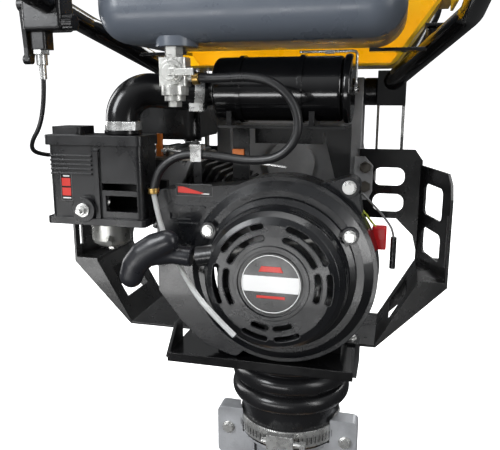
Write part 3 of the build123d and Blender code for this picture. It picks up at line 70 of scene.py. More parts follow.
# ---------------------------------------------------------------- materials
class Nodes:
    """A small wrapper that wires one procedural material."""

    def __init__(self, name, base, rough, metal=0.0, round_off=0.0011):
        self.mat = bpy.data.materials.new(name)
        self.mat.use_nodes = True
        self.tree = self.mat.node_tree
        self.shader = self.tree.nodes["Principled BSDF"]
        self.set("Base Color", (*base, 1))
        self.set("Roughness", rough)
        self.set("Metallic", metal)
        self.coord = self.add("ShaderNodeTexCoord")
        soft = self.add("ShaderNodeBevel", samples=4)
        soft.inputs["Radius"].default_value = round_off
        self.normal = soft.outputs["Normal"]
        self.link(self.normal, self.shader.inputs["Normal"])

    def add(self, kind, **values):
        node = self.tree.nodes.new(kind)
        for key, value in values.items():
            setattr(node, key, value)
        return node

    def set(self, socket, value):
        self.shader.inputs[socket].default_value = value

    def link(self, a, b):
        self.tree.links.new(a, b)

    def noise(self, scale, detail=4.0, rough=0.55, stretch=None):
        """Noise in object space; stretch squeezes it along axes for brushed or layered looks."""
        tex = self.add("ShaderNodeTexNoise")
        tex.inputs["Scale"].default_value = scale
        tex.inputs["Detail"].default_value = detail
        tex.inputs["Roughness"].default_value = rough
        source = self.coord.outputs["Object"]
        if stretch:
            move = self.add("ShaderNodeMapping")
            move.inputs["Scale"].default_value = stretch
            self.link(source, move.inputs["Vector"])
            source = move.outputs["Vector"]
        self.link(source, tex.inputs["Vector"])
        return tex.outputs["Fac"]

    def ramp(self, source, stops):
        node = self.add("ShaderNodeValToRGB")
        ramp = node.color_ramp
        while len(ramp.elements) < len(stops):
            ramp.elements.new(0.5)
        for element, (place, colour) in zip(ramp.elements, stops):
            element.position = place
            element.color = (*colour, 1) if len(colour) == 3 else colour
        self.link(source, node.inputs["Fac"])
        return node.outputs["Color"]

    def grey(self, source, low, high, a=0.35, b=0.65):
        return self.ramp(source, [(a, (low,) * 3), (b, (high,) * 3)])

    def bump(self, source, strength, distance):
        node = self.add("ShaderNodeBump")
        node.inputs["Strength"].default_value = strength
        node.inputs["Distance"].default_value = distance
        self.link(source, node.inputs["Height"])
        self.link(self.normal, node.inputs["Normal"])
        self.normal = node.outputs["Normal"]
        self.link(self.normal, self.shader.inputs["Normal"])

    def colour(self, source):
        self.link(source, self.shader.inputs["Base Color"])

    def roughness(self, source):
        self.link(source, self.shader.inputs["Roughness"])

    def mix(self, fac, a, b):
        """Mix two colours (tuples or sockets) by a factor socket."""
        node = self.add("ShaderNodeMix", data_type="RGBA")
        self.link(fac, node.inputs[0])
        for socket, value in ((node.inputs[6], a), (node.inputs[7], b)):
            if isinstance(value, tuple):
                socket.default_value = (*value, 1)
            else:
                self.link(value, socket)
        return node.outputs[2]


def painted(name, base, rough, dust=(0.16, 0.15, 0.13), peel=0.12, clear=0.0, dusty=0.05):
    """Gloss or satin paint with orange peel, thin dust and fine scratches."""
    n = Nodes(name, base, rough)
    pale = tuple(b * (1 - dusty) + d * dusty for b, d in zip(base, dust))
    film = n.ramp(n.noise(9, 5), [(0.45, base), (0.85, pale)])
    scratch = n.grey(n.noise(60, 8, 0.7, (1, 9, 2)), 0.0, 1.0, 0.68, 0.74)
    n.colour(n.mix(scratch, film, tuple(min(1, b * 1.35 + 0.006) for b in base)))
    n.roughness(n.grey(n.noise(26, 6), rough * 0.8, min(1, rough * 1.35)))
    n.bump(n.noise(420, 3), peel, 0.0004)
    n.bump(n.noise(14, 3), 0.05, 0.002)
    if clear:
        n.set("Coat Weight", clear)
        n.set("Coat Roughness", 0.05)
    return n.mat


def cast(name, base, rough, metal=0.75, grain=0.55):
    """Sand- or die-cast metal: pitted grain and blotchy oxide."""
    n = Nodes(name, base, rough, metal, 0.0016)
    n.colour(n.ramp(n.noise(16, 6), [(0.3, tuple(b * 0.66 for b in base)), (0.55, base),
                                     (0.8, tuple(min(1, b * 1.2) for b in base))]))
    n.roughness(n.grey(n.noise(40, 4), rough * 0.8, min(1, rough * 1.25)))
    n.bump(n.noise(320, 4), grain, 0.0007)
    n.bump(n.noise(48, 3), 0.12, 0.001)
    return n.mat


def steel(name, base, rough, stretch=(1, 1, 1), metal=1.0, grain=0.1):
    """Plated or machined metal with fine lay and a few stains."""
    n = Nodes(name, base, rough, metal)
    stain = n.noise(38, 6)
    n.colour(n.ramp(stain, [(0.3, tuple(b * 0.82 for b in base)), (0.5, base),
                            (0.75, tuple(min(1, b * 1.08) for b in base))]))
    n.roughness(n.grey(n.noise(110, 4, 0.6, stretch), rough * 0.7, min(1, rough * 1.5)))
    n.bump(n.noise(260, 3, 0.6, stretch), grain, 0.0003)
    return n.mat


def moulded(name, base, rough, grain=0.35, scale=520, dust=0.06):
    """Moulded plastic or rubber: fine texture, faint flow marks and dust in broad patches."""
    n = Nodes(name, base, rough)
    pale = tuple(min(1, b * (1 - dust) + 0.3 * dust) for b in base)
    n.colour(n.mix(n.grey(n.noise(11, 6), 0.0, 1.0, 0.42, 0.78), base, pale))
    n.roughness(n.grey(n.noise(33, 5), rough * 0.8, min(1, rough * 1.3)))
    n.bump(n.noise(scale, 3), grain, 0.0004)
    n.bump(n.noise(20, 3), 0.06, 0.001)
    return n.mat


BLACK_GLOSS = painted("black_gloss_paint", (0.0035, 0.0035, 0.004), 0.16, clear=0.6, peel=0.06)
BLACK_SHEET = painted("black_powder_coat", (0.0045, 0.0045, 0.005), 0.27, peel=0.16, clear=0.2)
BLACK_SHROUD = painted("black_shroud_paint", (0.004, 0.0045, 0.006), 0.26, peel=0.22, clear=0.25)
COVER_BLACK = painted("recoil_cover_paint", (0.005, 0.0055, 0.007), 0.30, peel=0.35, clear=0.15)
ENGINE_BLACK = painted("engine_black_paint", (0.007, 0.007, 0.0075), 0.40, peel=0.4)
YELLOW = painted("yellow_paint", (1.0, 0.62, 0.003), 0.30, dust=(0.6, 0.5, 0.3), clear=0.3)
TANK = moulded("tank_blue_grey", (0.122, 0.141, 0.172), 0.30, 0.18, 380, 0.04)
CAST_GREY = cast("cast_aluminium", (0.44, 0.44, 0.445), 0.38, 0.45)
CAST_IRON = cast("leg_casting_grey", (0.44, 0.45, 0.47), 0.42, 0.3)
DIE_CAST = cast("die_cast_zinc", (0.60, 0.60, 0.57), 0.30, 0.7, 0.3)
ZINC = steel("zinc_plate", (0.66, 0.66, 0.645), 0.26, metal=0.75)
DARK_ZINC = steel("weathered_zinc", (0.22, 0.205, 0.18), 0.36)
DULL_STEEL = steel("machined_steel", (0.36, 0.36, 0.37), 0.34, (1, 6, 1))
SPRING = steel("spring_steel", (0.16, 0.16, 0.17), 0.38)
SOLE = steel("sole_steel", (0.26, 0.25, 0.24), 0.44, (1, 8, 1), grain=0.4)
RUBBER = moulded("black_rubber", (0.010, 0.010, 0.011), 0.24, 0.18, 300, 0.02)
ELBOW_RUBBER = moulded("elbow_rubber", (0.005, 0.005, 0.0055), 0.20, 0.12, 260, 0.01)
HOSE_RUBBER = moulded("hose_rubber", (0.013, 0.013, 0.014), 0.33, 0.15, 400, 0.01)
PLASTIC = moulded("black_plastic", (0.0075, 0.0075, 0.0085), 0.30, 0.22, dust=0.015)
GRIP_PLASTIC = moulded("grip_plastic", (0.014, 0.0145, 0.018), 0.30, 0.15, 480, 0.01)
RED = moulded("red_plastic", (0.62, 0.008, 0.012), 0.26, 0.15)
BRASS = steel("yellow_zinc", (0.55, 0.36, 0.12), 0.30)
ROPE_FIBRE = moulded("starter_rope", (0.40, 0.39, 0.37), 0.8, 0.9, 900)
WHITE_INK = moulded("white_print", (0.86, 0.86, 0.85), 0.35, 0.05)
RED_INK = moulded("red_print", (0.62, 0.022, 0.012), 0.35, 0.05, dust=0.02)
BADGE_BLACK = moulded("badge_black", (0.006, 0.006, 0.0065), 0.22, 0.06, dust=0.01)
GREY_INK = moulded("grey_print", (0.17, 0.17, 0.17), 0.4, 0.05)
AMBER = moulded("amber_plastic", (0.52, 0.13, 0.012), 0.35, 0.1)
WIRE_GREEN = moulded("wire_yellow_green", (0.42, 0.50, 0.02), 0.35, 0.1, dust=0.02)


def clear_plastic():
    n = Nodes("clear_hose", (0.74, 0.75, 0.74), 0.16)
    n.set("Transmission Weight", 0.45)
    n.set("IOR", 1.42)
    n.colour(n.ramp(n.noise(30, 4), [(0.3, (0.62, 0.62, 0.60)), (0.7, (0.86, 0.87, 0.87))]))
    n.bump(n.noise(120, 3), 0.1, 0.0004)
    return n.mat


def laminate():
    """Shoe block: horizontal veneers of slightly different browns under oil."""
    n = Nodes("laminated_wood", (0.36, 0.20, 0.09), 0.5, 0.0, 0.003)
    wave = n.add("ShaderNodeTexWave", wave_type="BANDS", bands_direction="Z")
    wave.inputs["Scale"].default_value = 90
    wave.inputs["Distortion"].default_value = 0.6
    wave.inputs["Detail"].default_value = 3
    n.link(n.coord.outputs["Object"], wave.inputs["Vector"])
    layers = n.ramp(wave.outputs["Fac"], [(0.2, (0.20, 0.10, 0.045)), (0.5, (0.38, 0.22, 0.10)),
                                         (0.8, (0.47, 0.29, 0.14))])
    grain = n.grey(n.noise(70, 8, 0.6, (1, 14, 1)), 0.0, 0.6)
    n.colour(n.mix(grain, layers, (0.16, 0.08, 0.035)))
    n.roughness(n.grey(n.noise(30, 5), 0.36, 0.62))
    n.bump(n.noise(130, 6, 0.6, (1, 12, 4)), 0.4, 0.0006)
    return n.mat


CLEAR = clear_plastic()
WOOD = laminate()

FINISH = {
    BLACK_GLOSS: ("handle_frame", "air_canister", "canister_cap", "base_plate"),
    BLACK_SHEET: ("guard_right", "guard_left", "canister_tray", "muffler"),
    BLACK_SHROUD: ("blower_shroud",),
    COVER_BLACK: ("recoil_housing",),
    ENGINE_BLACK: ("engine_block", "valve_cover"),
    YELLOW: ("hood",),
    TANK: ("fuel_tank",),
    CAST_GREY: ("crankcase", "crankcase_cover", "guide_cylinder", "cylinder_head", "flywheel_fan"),
    CAST_IRON: ("leg_casting",),
    DIE_CAST: ("carburettor", "float_bowl", "fuel_valve", "fuel_lever"),
    ZINC: ("machine_bolts", "leg_bolts", "engine_screws", "worm_clamps", "bellows_clamp", "governor_arm",
           "wire_latch"),
    DULL_STEEL: ("crankshaft", "crank_gear", "connecting_rod", "piston_rod", "clutch_drum", "clutch_shoes"),
    SPRING: ("ram_springs",),
    SOLE: ("sole_plate",),
    RUBBER: ("bellows", "rubber_mounts", "hand_grip"),
    ELBOW_RUBBER: ("intake_elbow",),
    HOSE_RUBBER: ("fuel_hose", "throttle_cable"),
    PLASTIC: ("air_box", "air_box_lid", "throttle_housing", "throttle_lever", "friction_knob", "choke_lever",
              "transport_roller", "spark_plug", "recoil_pulley", "fuel_cap"),
    GRIP_PLASTIC: ("starter_handle",),
    BADGE_BLACK: ("badge",),
    RED: ("stop_connector",),
    CLEAR: ("drain_tube",),
    WOOD: ("shoe_body",),
}


def dress(obj, material):
    obj.data.materials.clear()
    obj.data.materials.append(material)


for material, names in FINISH.items():
    for name in names:
        dress(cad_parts[name], material)


def paint(node, material, low, high):
    """Give a second material to the faces of a node whose middle lies in a machine-frame box."""
    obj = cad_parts[node]
    obj.data.materials.append(material)
    index = len(obj.data.materials) - 1
    for face in obj.data.polygons:
        c = face.center * 1000
        x, y, z = c.x, c.y * COS - c.z * SIN, c.y * SIN + c.z * COS - CRANK_UP
        if low[0] <= x <= high[0] and low[1] <= y <= high[1] and low[2] <= z <= high[2]:
            face.material_index = index


paint("throttle_housing", ZINC, (-244, -284, 200), (-218, -260, 237.95))
paint("stop_connector", RUBBER, (143, -202, -3), (153, -192, 37))
paint("carburettor", PLASTIC, (-226, -187.2, 40), (-124, -176, 94))
paint("carburettor", DARK_ZINC, (-192, -214, 105), (-75, -183, 134))
paint("carburettor", PLASTIC, (-88, -201, 64), (-74, -196, 119.5))
for side in (1, -1):
    low, high = sorted((side * 117.5, side * 121.5))
    paint("handle_frame", DARK_ZINC, (low, -54, 113), (high, -39, 181))
    low, high = sorted((side * 149.5, side * 154.5))
    paint("handle_frame", ZINC, (low, -54, 115), (high, -23, 181))
paint("machine_bolts", DARK_ZINC, (96, -72, 60), (118, -39, 108))

# ---------------------------------------------------------------- mesh helpers
def mesh_piece(name, verts, faces, material, body, smooth=True):
    mesh = bpy.data.meshes.new(name)
    mesh.from_pydata([tuple(v) for v in verts], [], faces)
    mesh.update()
    if smooth:
        mesh.shade_smooth()
    obj = bpy.data.objects.new(name, mesh)
    bpy.context.scene.collection.objects.link(obj)
    obj.data.materials.append(material)
    if body:
        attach(obj, body)
    return obj


def lathe(profile, origin, axis, side, segments=96):
    """Vertices and faces of a closed profile of (radius, height) turned about an axis."""
    other = axis.cross(side)
    verts, faces = [], []
    count = len(profile)
    for k in range(segments):
        a = 2 * math.pi * k / segments
        out = side * math.cos(a) + other * math.sin(a)
        for r, h in profile:
            verts.append(origin + out * (r / 1000) + axis * (h / 1000))
    for k in range(segments):
        n = (k + 1) % segments
        for i in range(count):
            j = (i + 1) % count
            faces.append((k * count + i, n * count + i, n * count + j, k * count + j))
    return verts, faces


def nurbs(name, points, radius, material):
    """Smooth cord drawn by machine-frame control points."""
    curve = bpy.data.curves.new(name, "CURVE")
    curve.dimensions = "3D"
    curve.resolution_u = 16
    spline = curve.splines.new("NURBS")
    spline.points.add(len(points) - 1)
    for point, p in zip(spline.points, points):
        point.co = (*at(*p), 1)
    spline.order_u = 3
    spline.use_endpoint_u = True
    curve.bevel_depth = radius / 1000
    curve.bevel_resolution = 6
    curve.use_fill_caps = True
    obj = bpy.data.objects.new(name, curve)
    bpy.context.scene.collection.objects.link(obj)
    obj.data.materials.append(material)
    return obj


def centreline(obj):
    """Points of a cord's own spline, read with no bevel."""
    depth = obj.data.bevel_depth
    obj.data.bevel_depth = 0
    bpy.context.view_layer.update()
    graph = bpy.context.evaluated_depsgraph_get()
    mesh = bpy.data.meshes.new_from_object(obj.evaluated_get(graph))
    points = [v.co.copy() for v in mesh.vertices]
    bpy.data.meshes.remove(mesh)
    obj.data.bevel_depth = depth
    return points


def as_mesh(obj):
    """Swap an object for its finished mesh, under the same name."""
    bpy.context.view_layer.update()
    graph = bpy.context.evaluated_depsgraph_get()
    mesh = bpy.data.meshes.new_from_object(obj.evaluated_get(graph))
    name = obj.name
    bpy.data.objects.remove(obj)
    made = bpy.data.objects.new(name, mesh)
    mesh.shade_smooth()
    bpy.context.scene.collection.objects.link(made)
    return made


def plate_y(name, outline, y, thick, material, body, bevel=0.0):
    """Flat piece facing the operator: an X-Z outline at machine station y, thick mm deep."""
    count = len(outline)
    verts = [at(x, y, z) for x, z in outline] + [at(x, y + thick, z) for x, z in outline]
    faces = [tuple(range(count)), tuple(range(2 * count - 1, count - 1, -1))]
    faces += [(i, i + count, (i + 1) % count + count, (i + 1) % count) for i in range(count)]
    obj = mesh_piece(name, verts, faces, material, body, False)
    if bevel:
        mod = obj.modifiers.new("edge", "BEVEL")
        mod.width = bevel / 1000
        mod.segments = 2


def arc(x, z, r, count, a0, a1):
    """X-Z points of an arc in count steps, from a0 to a1 degrees."""
    out = []
    for i in range(count + 1):
        a = math.radians(a0 + (a1 - a0) * i / count)
        out.append((x + r * math.cos(a), z + r * math.sin(a)))
    return out


def annulus_y(name, x, z, r0, r1, y, thick, material, body):
    """Flat ring facing the operator."""
    profile = [(r0, 0), (r1, 0), (r1, thick), (r0, thick)]
    verts, faces = lathe(profile, at(x, y, z), way(0, 1, 0), way(1, 0, 0))
    mesh_piece(name, verts, faces, material, body, False)


# ---------------------------------------------------------------- camera, light and floor
CAMERA_PLACE = (146.8, -849.1, 185.7)            # machine frame, mm
CAMERA_YAW, CAMERA_PITCH = 14.17, 12.20          # degrees left of the Y axis, and down
LENS, SENSOR = 41.8, 36                          # mm

BACKDROP_GLOW, ROOM_GLOW = 1.05, 0.55
ROOM_LEVELS = [(0.0, 0.10), (0.12, 0.22), (0.35, 0.45), (0.75, 1.0)]   # height above the horizon, brightness

WHITE = (1, 1, 1)
MIDDLE = (0, 0, 0.7)                             # the machine's middle, m
LIGHTS = [                                       # name, place and aim (m), size (m), power (W), tint
    ("key", (-1.7, -1.9, 2.3), MIDDLE, (1.0, 1.5), 62, (0.96, 0.98, 1.0)),
    ("fill", (2.3, -1.3, 1.5), MIDDLE, (0.5, 1.8), 24, WHITE),
    ("top", (0.0, 0.3, 2.8), MIDDLE, (2.2, 1.4), 46, WHITE),
    ("rim", (1.0, 2.2, 1.8), MIDDLE, (1.6, 1.0), 30, WHITE),
    ("edge", (-2.2, 0.6, 1.1), MIDDLE, (0.6, 1.8), 22, WHITE),
    ("low", (-0.7, -2.0, 0.45), (0, 0, 0.35), (1.8, 0.3), 13, WHITE),
]
FLOOR_HALF = 30                                  # m


def camera():
    data = bpy.data.cameras.new("camera")
    data.lens = LENS
    data.sensor_width = SENSOR
    data.clip_start = 0.01
    cam = bpy.data.objects.new("camera", data)
    bpy.context.scene.collection.objects.link(cam)
    place = at(*CAMERA_PLACE)
    yaw, pitch = math.radians(CAMERA_YAW), math.radians(CAMERA_PITCH)
    forward = way(-math.sin(yaw) * math.cos(pitch), math.cos(yaw) * math.cos(pitch), -math.sin(pitch))
    right = forward.cross(way(0, 0, 1)).normalized()
    up = right.cross(forward)
    turn = Matrix((right, up, -forward)).transposed().to_4x4()
    cam.matrix_world = Matrix.Translation(place) @ turn
    bpy.context.scene.camera = cam


def soft_light(name, place, aim, size, power, tint):
    data = bpy.data.lights.new(name, "AREA")
    data.shape = "RECTANGLE"
    data.size, data.size_y = size
    data.energy = power
    data.color = tint
    lamp = bpy.data.objects.new(name, data)
    bpy.context.scene.collection.objects.link(lamp)
    lamp.location = place
    lamp.rotation_euler = (Vector(aim) - Vector(place)).to_track_quat("-Z", "Y").to_euler()


def surroundings():
    """White background for the camera; a darker room with a bright ceiling for light and gloss."""
    world = bpy.data.worlds.new("studio")
    bpy.context.scene.world = world
    world.use_nodes = True
    tree = world.node_tree
    room = tree.nodes["Background"]
    seen = tree.nodes.new("ShaderNodeBackground")
    seen.inputs["Color"].default_value = (*WHITE, 1)
    seen.inputs["Strength"].default_value = BACKDROP_GLOW
    coord = tree.nodes.new("ShaderNodeTexCoord")
    split = tree.nodes.new("ShaderNodeSeparateXYZ")
    ramp = tree.nodes.new("ShaderNodeValToRGB")
    tree.links.new(coord.outputs["Generated"], split.inputs[0])
    tree.links.new(split.outputs["Z"], ramp.inputs["Fac"])
    tree.links.new(ramp.outputs["Color"], room.inputs["Color"])
    while len(ramp.color_ramp.elements) < len(ROOM_LEVELS):
        ramp.color_ramp.elements.new(0.5)
    for element, (place, level) in zip(ramp.color_ramp.elements, ROOM_LEVELS):
        element.position = place
        element.color = (level * 0.96, level * 0.98, level, 1)
    room.inputs["Strength"].default_value = ROOM_GLOW
    path = tree.nodes.new("ShaderNodeLightPath")
    mix = tree.nodes.new("ShaderNodeMixShader")
    tree.links.new(path.outputs["Is Camera Ray"], mix.inputs[0])
    tree.links.new(room.outputs[0], mix.inputs[1])
    tree.links.new(seen.outputs[0], mix.inputs[2])
    tree.links.new(mix.outputs[0], tree.nodes["World Output"].inputs[0])


def studio():
    surroundings()
    for light in LIGHTS:
        soft_light(*light)
    corners = [(x * FLOOR_HALF, y * FLOOR_HALF, 0) for x, y in ((-1, -1), (1, -1), (1, 1), (-1, 1))]
    mesh = bpy.data.meshes.new("floor")
    mesh.from_pydata(corners, [], [(0, 1, 2, 3)])
    floor = bpy.data.objects.new("floor", mesh)
    bpy.context.scene.collection.objects.link(floor)
    n = Nodes("floor_pale", (0.85, 0.85, 0.85), 0.8)
    n.set("Specular IOR Level", 0.1)
    n.set("Emission Color", (*WHITE, 1))
    n.set("Emission Strength", 0.75)
    mesh.materials.append(n.mat)
    floor.visible_glossy = False
    floor.visible_diffuse = False
    bpy.context.scene.view_settings.view_transform = "Standard"


camera()
studio()

# ---------------------------------------------------------------- cords
FUEL_ROUTE = [(-62, -264, 207), (-30, -264, 207), (-2, -265, 208.5), (25, -267, 203), (47.5, -268, 181),
              (51, -268, 150), (31, -266, 127), (-1, -262, 123), (-34, -259, 127), (-72, -259, 129.5),
              (-94, -259, 121), (-109, -259, 104), (-112, -259, 85.2)]
CABLE_ROUTE = [(-231, -272, 207), (-233, -272, 165), (-264, -264, 130), (-262, -227, 119),
               (-236, -204, 121), (-196, -199, 125)]
DRAIN_ROUTE = [(-112, -259, 83.7), (-107, -261, 58), (-97, -260, 28), (-82, -262, 2), (-58, -284, -18),
               (-34, -299, -34), (-9, -299, -57)]


def cord_mesh(name, route, diameter, material):
    """A cord's mesh, and the points of its centreline."""
    line = nurbs(name, route, diameter / 2, material)
    points = centreline(line)
    return as_mesh(line), points


def crossing_cord(name, node, route, diameter, material, start, end):
    """A hose between the sprung handle and the engine, baked as one fixed mesh."""
    tube, points = cord_mesh(name, route, diameter, material)
    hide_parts(node)
    at(*start)
    at(*end)
    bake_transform(tube)


def hanging_cord(name, node, route, diameter, material):
    """A tube that hangs from the engine with a bare end."""
    tube, points = cord_mesh(name, route, diameter, material)
    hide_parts(node)
    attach(tube, "upper")


crossing_cord("fuel_hose_curved", "fuel_hose", FUEL_ROUTE, 9.5, HOSE_RUBBER, (0, -265, 200), (0, -262, 135))
crossing_cord("throttle_cable_curved", "throttle_cable", CABLE_ROUTE, 5.0, HOSE_RUBBER, (-232, -272, 200),
              (-240, -210, 126))
hanging_cord("drain_tube_curved", "drain_tube", DRAIN_ROUTE, 6.0, CLEAR)


# ---------------------------------------------------------------- bellows
RIBS, RIB_TOP, RIB_PITCH = 5, -135, 30           # count, middle of the highest and spacing, mm
RIB_DEEP, RIB_HALF, RIB_STEPS = 14.0, 13.4, 12   # bulge and half height, mm, and steps round a rib
CUFF, VALLEY = 78, 78.6                          # outer radii, mm
SLEEVE_BORE, SLEEVE_WALL = 70, 4                 # mm


def bellows():
    """Moulded rubber sleeve: five full round ribs with tight valleys and cuffs under the bands."""
    outer = [(CUFF, -94), (CUFF, -113)]
    for rib in range(RIBS):
        z = RIB_TOP - RIB_PITCH * rib
        for k in range(RIB_STEPS + 1):
            t = math.pi * k / RIB_STEPS
            bulge = math.sin(t) ** 0.62 if 0 < k < RIB_STEPS else 0.0
            outer.append((VALLEY + RIB_DEEP * bulge, z + RIB_HALF * math.cos(t)))
        outer.append((CUFF, z - RIB_PITCH / 2))
    outer += [(CUFF, -272), (CUFF, -330)]
    inner = [(max(SLEEVE_BORE, r - SLEEVE_WALL), h) for r, h in outer[::-1]]
    verts, faces = lathe(outer + inner, at(0, 0, 0), way(0, 0, 1), way(1, 0, 0), 120)
    sleeve = mesh_piece("bellows_moulded", verts, faces, RUBBER, None)
    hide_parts("bellows")
    at(0, 0, -296)
    at(0, 0, -112)
    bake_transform(sleeve)


bellows()

# ---------------------------------------------------------------- ram springs
def coil_spring(name, z_piston, z_foot, turns, radius=28.0, wire=4.3):
    """Spring between the piston and a cap in the leg."""
    steps, around = 40 * turns, 12
    verts, faces = [], []
    for i in range(steps + 1):
        t = i / steps
        a = 2 * math.pi * turns * t
        z = z_piston + (z_foot - z_piston) * t
        out = way(math.cos(a), math.sin(a), 0)
        mid = at(radius * math.cos(a), radius * math.sin(a), z)
        for k in range(around):
            b = 2 * math.pi * k / around
            verts.append(mid + (out * math.cos(b) + way(0, 0, 1) * math.sin(b)) * (wire / 1000))
    for i in range(steps):
        for k in range(around):
            n = (k + 1) % around
            faces.append((i * around + k, i * around + n, (i + 1) * around + n, (i + 1) * around + k))
    faces += [tuple(range(around)), tuple(range(len(verts) - 1, len(verts) - 1 - around, -1))]
    spring = mesh_piece(name, verts, faces, SPRING, None)
    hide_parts("ram_springs")
    at(0, 0, z_piston)
    at(0, 0, z_foot)
    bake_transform(spring)


coil_spring("spring_above_piston", -234.8, -135.2, 6)
coil_spring("spring_below_piston", -282.2, -499.8, 11)

# ---------------------------------------------------------------- badge and labels
BADGE_FACE = FACE - 1.6            # front of the badge disc, mm
BADGE_R, BAND_HALF = 30.0, 8.6     # printed disc and half the white band, mm


def badge():
    """Plain badge: a white ring and band on the black disc, and a red bar above and below."""
    annulus_y("badge_ring", SHAFT_X, 0, BADGE_R + 0.2, BADGE_R + 1.2, BADGE_FACE - 0.25, 0.5, WHITE_INK,
              "upper")
    edge = math.degrees(math.asin(BAND_HALF / BADGE_R))
    outline = (arc(SHAFT_X, 0, BADGE_R, 12, -edge, edge)
               + arc(SHAFT_X, 0, BADGE_R, 12, 180 - edge, 180 + edge))
    plate_y("badge_band", outline, BADGE_FACE - 0.3, 0.5, WHITE_INK, "upper")
    bar = [(SHAFT_X - 13, 13), (SHAFT_X + 13, 13), (SHAFT_X + 10, 19), (SHAFT_X - 10, 19)]
    plate_y("badge_bar_top", bar, BADGE_FACE - 0.25, 0.4, RED_INK, "upper")
    low = [(SHAFT_X - 15, -15.5), (SHAFT_X + 15, -15.5), (SHAFT_X + 15, -12.5), (SHAFT_X - 15, -12.5)]
    plate_y("badge_bar_low", low, BADGE_FACE - 0.25, 0.4, RED_INK, "upper")


badge()

# ---------------------------------------------------------------- starter grip
def ball_run(bm, points, radii, flat=1.0, steps=7):
    """Overlapping balls along a line of machine points; flat squeezes them towards the operator."""
    for (p, q), (r0, r1) in zip(zip(points, points[1:]), zip(radii, radii[1:])):
        for k in range(steps + 1):
            t = k / steps
            c = Vector(p).lerp(Vector(q), t)
            r = r0 + (r1 - r0) * t
            size = Matrix.Diagonal((r / 1000, r * flat / 1000, r / 1000, 1))
            bmesh.ops.create_icosphere(bm, subdivisions=3, radius=1.0,
                                       matrix=Matrix.Translation(at(*c)) @ TILT @ size)


def starter_grip():
    """Moulded T-grip: a thick curved bar blended into its stem, with the rope stub behind it."""
    y = FACE + 6
    bm = bmesh.new()
    bar = [(-130, y - 3, -4), (-125, y - 3, 9), (-114, y - 3, 22), (-101, y - 3, 31), (-86, y - 3, 38)]
    ball_run(bm, bar, [13.5, 14.6, 15.2, 14.8, 12.6], 0.8)
    ball_run(bm, [(-112, y - 1, 18), (-96, y + 2, 21), (-84, y + 4, 21)], [11, 11.0, 9.8], 0.95)
    collar = lathe([(0, 0), (10.4, 0), (10.9, 1.2), (10.2, 26), (0, 26)], at(-61.8, FACE + 13, 19.2),
                    way(-1, -0.06, 0.09), way(0, 1, 0), 40)
    corners = [bm.verts.new(v) for v in collar[0]]
    for face in collar[1]:
        bm.faces.new([corners[i] for i in face])
    bmesh.ops.remove_doubles(bm, verts=corners, dist=1e-6)
    mesh = bpy.data.meshes.new("starter_grip_moulded")
    bm.to_mesh(mesh)
    bm.free()
    rough = bpy.data.objects.new("starter_grip_rough", mesh)
    bpy.context.scene.collection.objects.link(rough)
    join = rough.modifiers.new("join", "REMESH")
    join.mode = "VOXEL"
    join.voxel_size = 0.0012
    ease = rough.modifiers.new("ease", "SMOOTH")
    ease.factor, ease.iterations = 0.6, 14
    grip = as_mesh(rough)
    grip.name = "starter_grip_moulded"
    dress(grip, GRIP_PLASTIC)
    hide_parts("starter_handle")
    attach(grip, "starter")
    run = [(-61.2, FACE + 14.4, 18.74), (0, FACE + 15.1, 31), (78, FACE + 16, 46.6)]
    strand = as_mesh(nurbs("starter_rope_stub", run, 2.2, ROPE_FIBRE))
    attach(strand, "starter")


starter_grip()


# ---------------------------------------------------------------- small fittings
def clamp_ring(name, centre, axis, side, r0, r1, wide, material, body):
    """Rolled band with eased outer edges."""
    profile = [(r0, 0), (r0, wide), (r1 - 0.3, wide), (r1, wide - 0.5), (r1, 0.5), (r1 - 0.3, 0)]
    verts, faces = lathe(profile, at(*centre), way(*axis), way(*side), 48)
    mesh_piece(name, verts, faces, material, body, False)


def box_piece(name, low, high, material, body, round_off=0.6):
    """Small bevelled fitting between two machine corners."""
    outline = [(low[0], low[2]), (high[0], low[2]), (high[0], high[2]), (low[0], high[2])]
    plate_y(name, outline, low[1], high[1] - low[1], material, body, round_off)


def label(name, x0, x1, z0, z1, y, material):
    """Thin printed rectangle that rides the upper body."""
    plate_y(name, [(x0, z0), (x1, z0), (x1, z1), (x0, z1)], y, 0.25, material, "upper")


clamp_ring("fuel_clamp", (-61.5, -264, 207), (1, 0, 0), (0, 1, 0), 4.9, 6.4, 7, BRASS, "handle")
clamp_ring("drain_clamp", (-112, -259, 84), (0, 0, 1), (1, 0, 0), 5.0, 6.3, 6, BRASS, "upper")

LABELS = [   # name, left, right, bottom, top, station, print
    ("box_label_edge", -223.6, -209.4, 72.6, 104.4, -264.3, GREY_INK),
    ("box_label_field", -223.0, -210.0, 73.2, 103.8, -264.4, BADGE_BLACK),
    ("box_label_square_top", -222.0, -211.0, 89.4, 98.6, -264.5, RED_INK),
    ("box_label_square_low", -222.0, -211.0, 78.4, 87.6, -264.5, RED_INK),
    ("box_label_line_top", -220.0, -212.0, 100.2, 101.8, -264.5, WHITE_INK),
    ("box_label_line_low", -221.5, -211.5, 75.0, 76.6, -264.5, WHITE_INK),
    ("shroud_label_edge", -92.5, -49.5, 80.0, 93.5, -242.2, GREY_INK),
    ("shroud_label_field", -92.0, -50.0, 80.5, 93.0, -242.3, BADGE_BLACK),
]
for row in LABELS:
    label(*row)
plate_y("shroud_label_wedge", [(-90, 90.5), (-84, 90.5), (-60, 84.0), (-60, 82.5), (-90, 83.5)], -242.4, 0.2,
        RED_INK, "upper")
label("shroud_label_line", -62, -53, 82.2, 83.6, -242.4, WHITE_INK)
plate_y("guard_lug_face", [(92, 54), (112, 54), (117, 66), (117, 100), (106, 112), (92, 112)], -65.2, 2.1,
        CAST_GREY, "upper", 0.6)
box_piece("governor_stop", (-41, -190, 121), (-27, -186, 129), AMBER, "upper")
box_piece("choke_guide", (-133, -200, 119), (-126, -194, 146), AMBER, "upper")


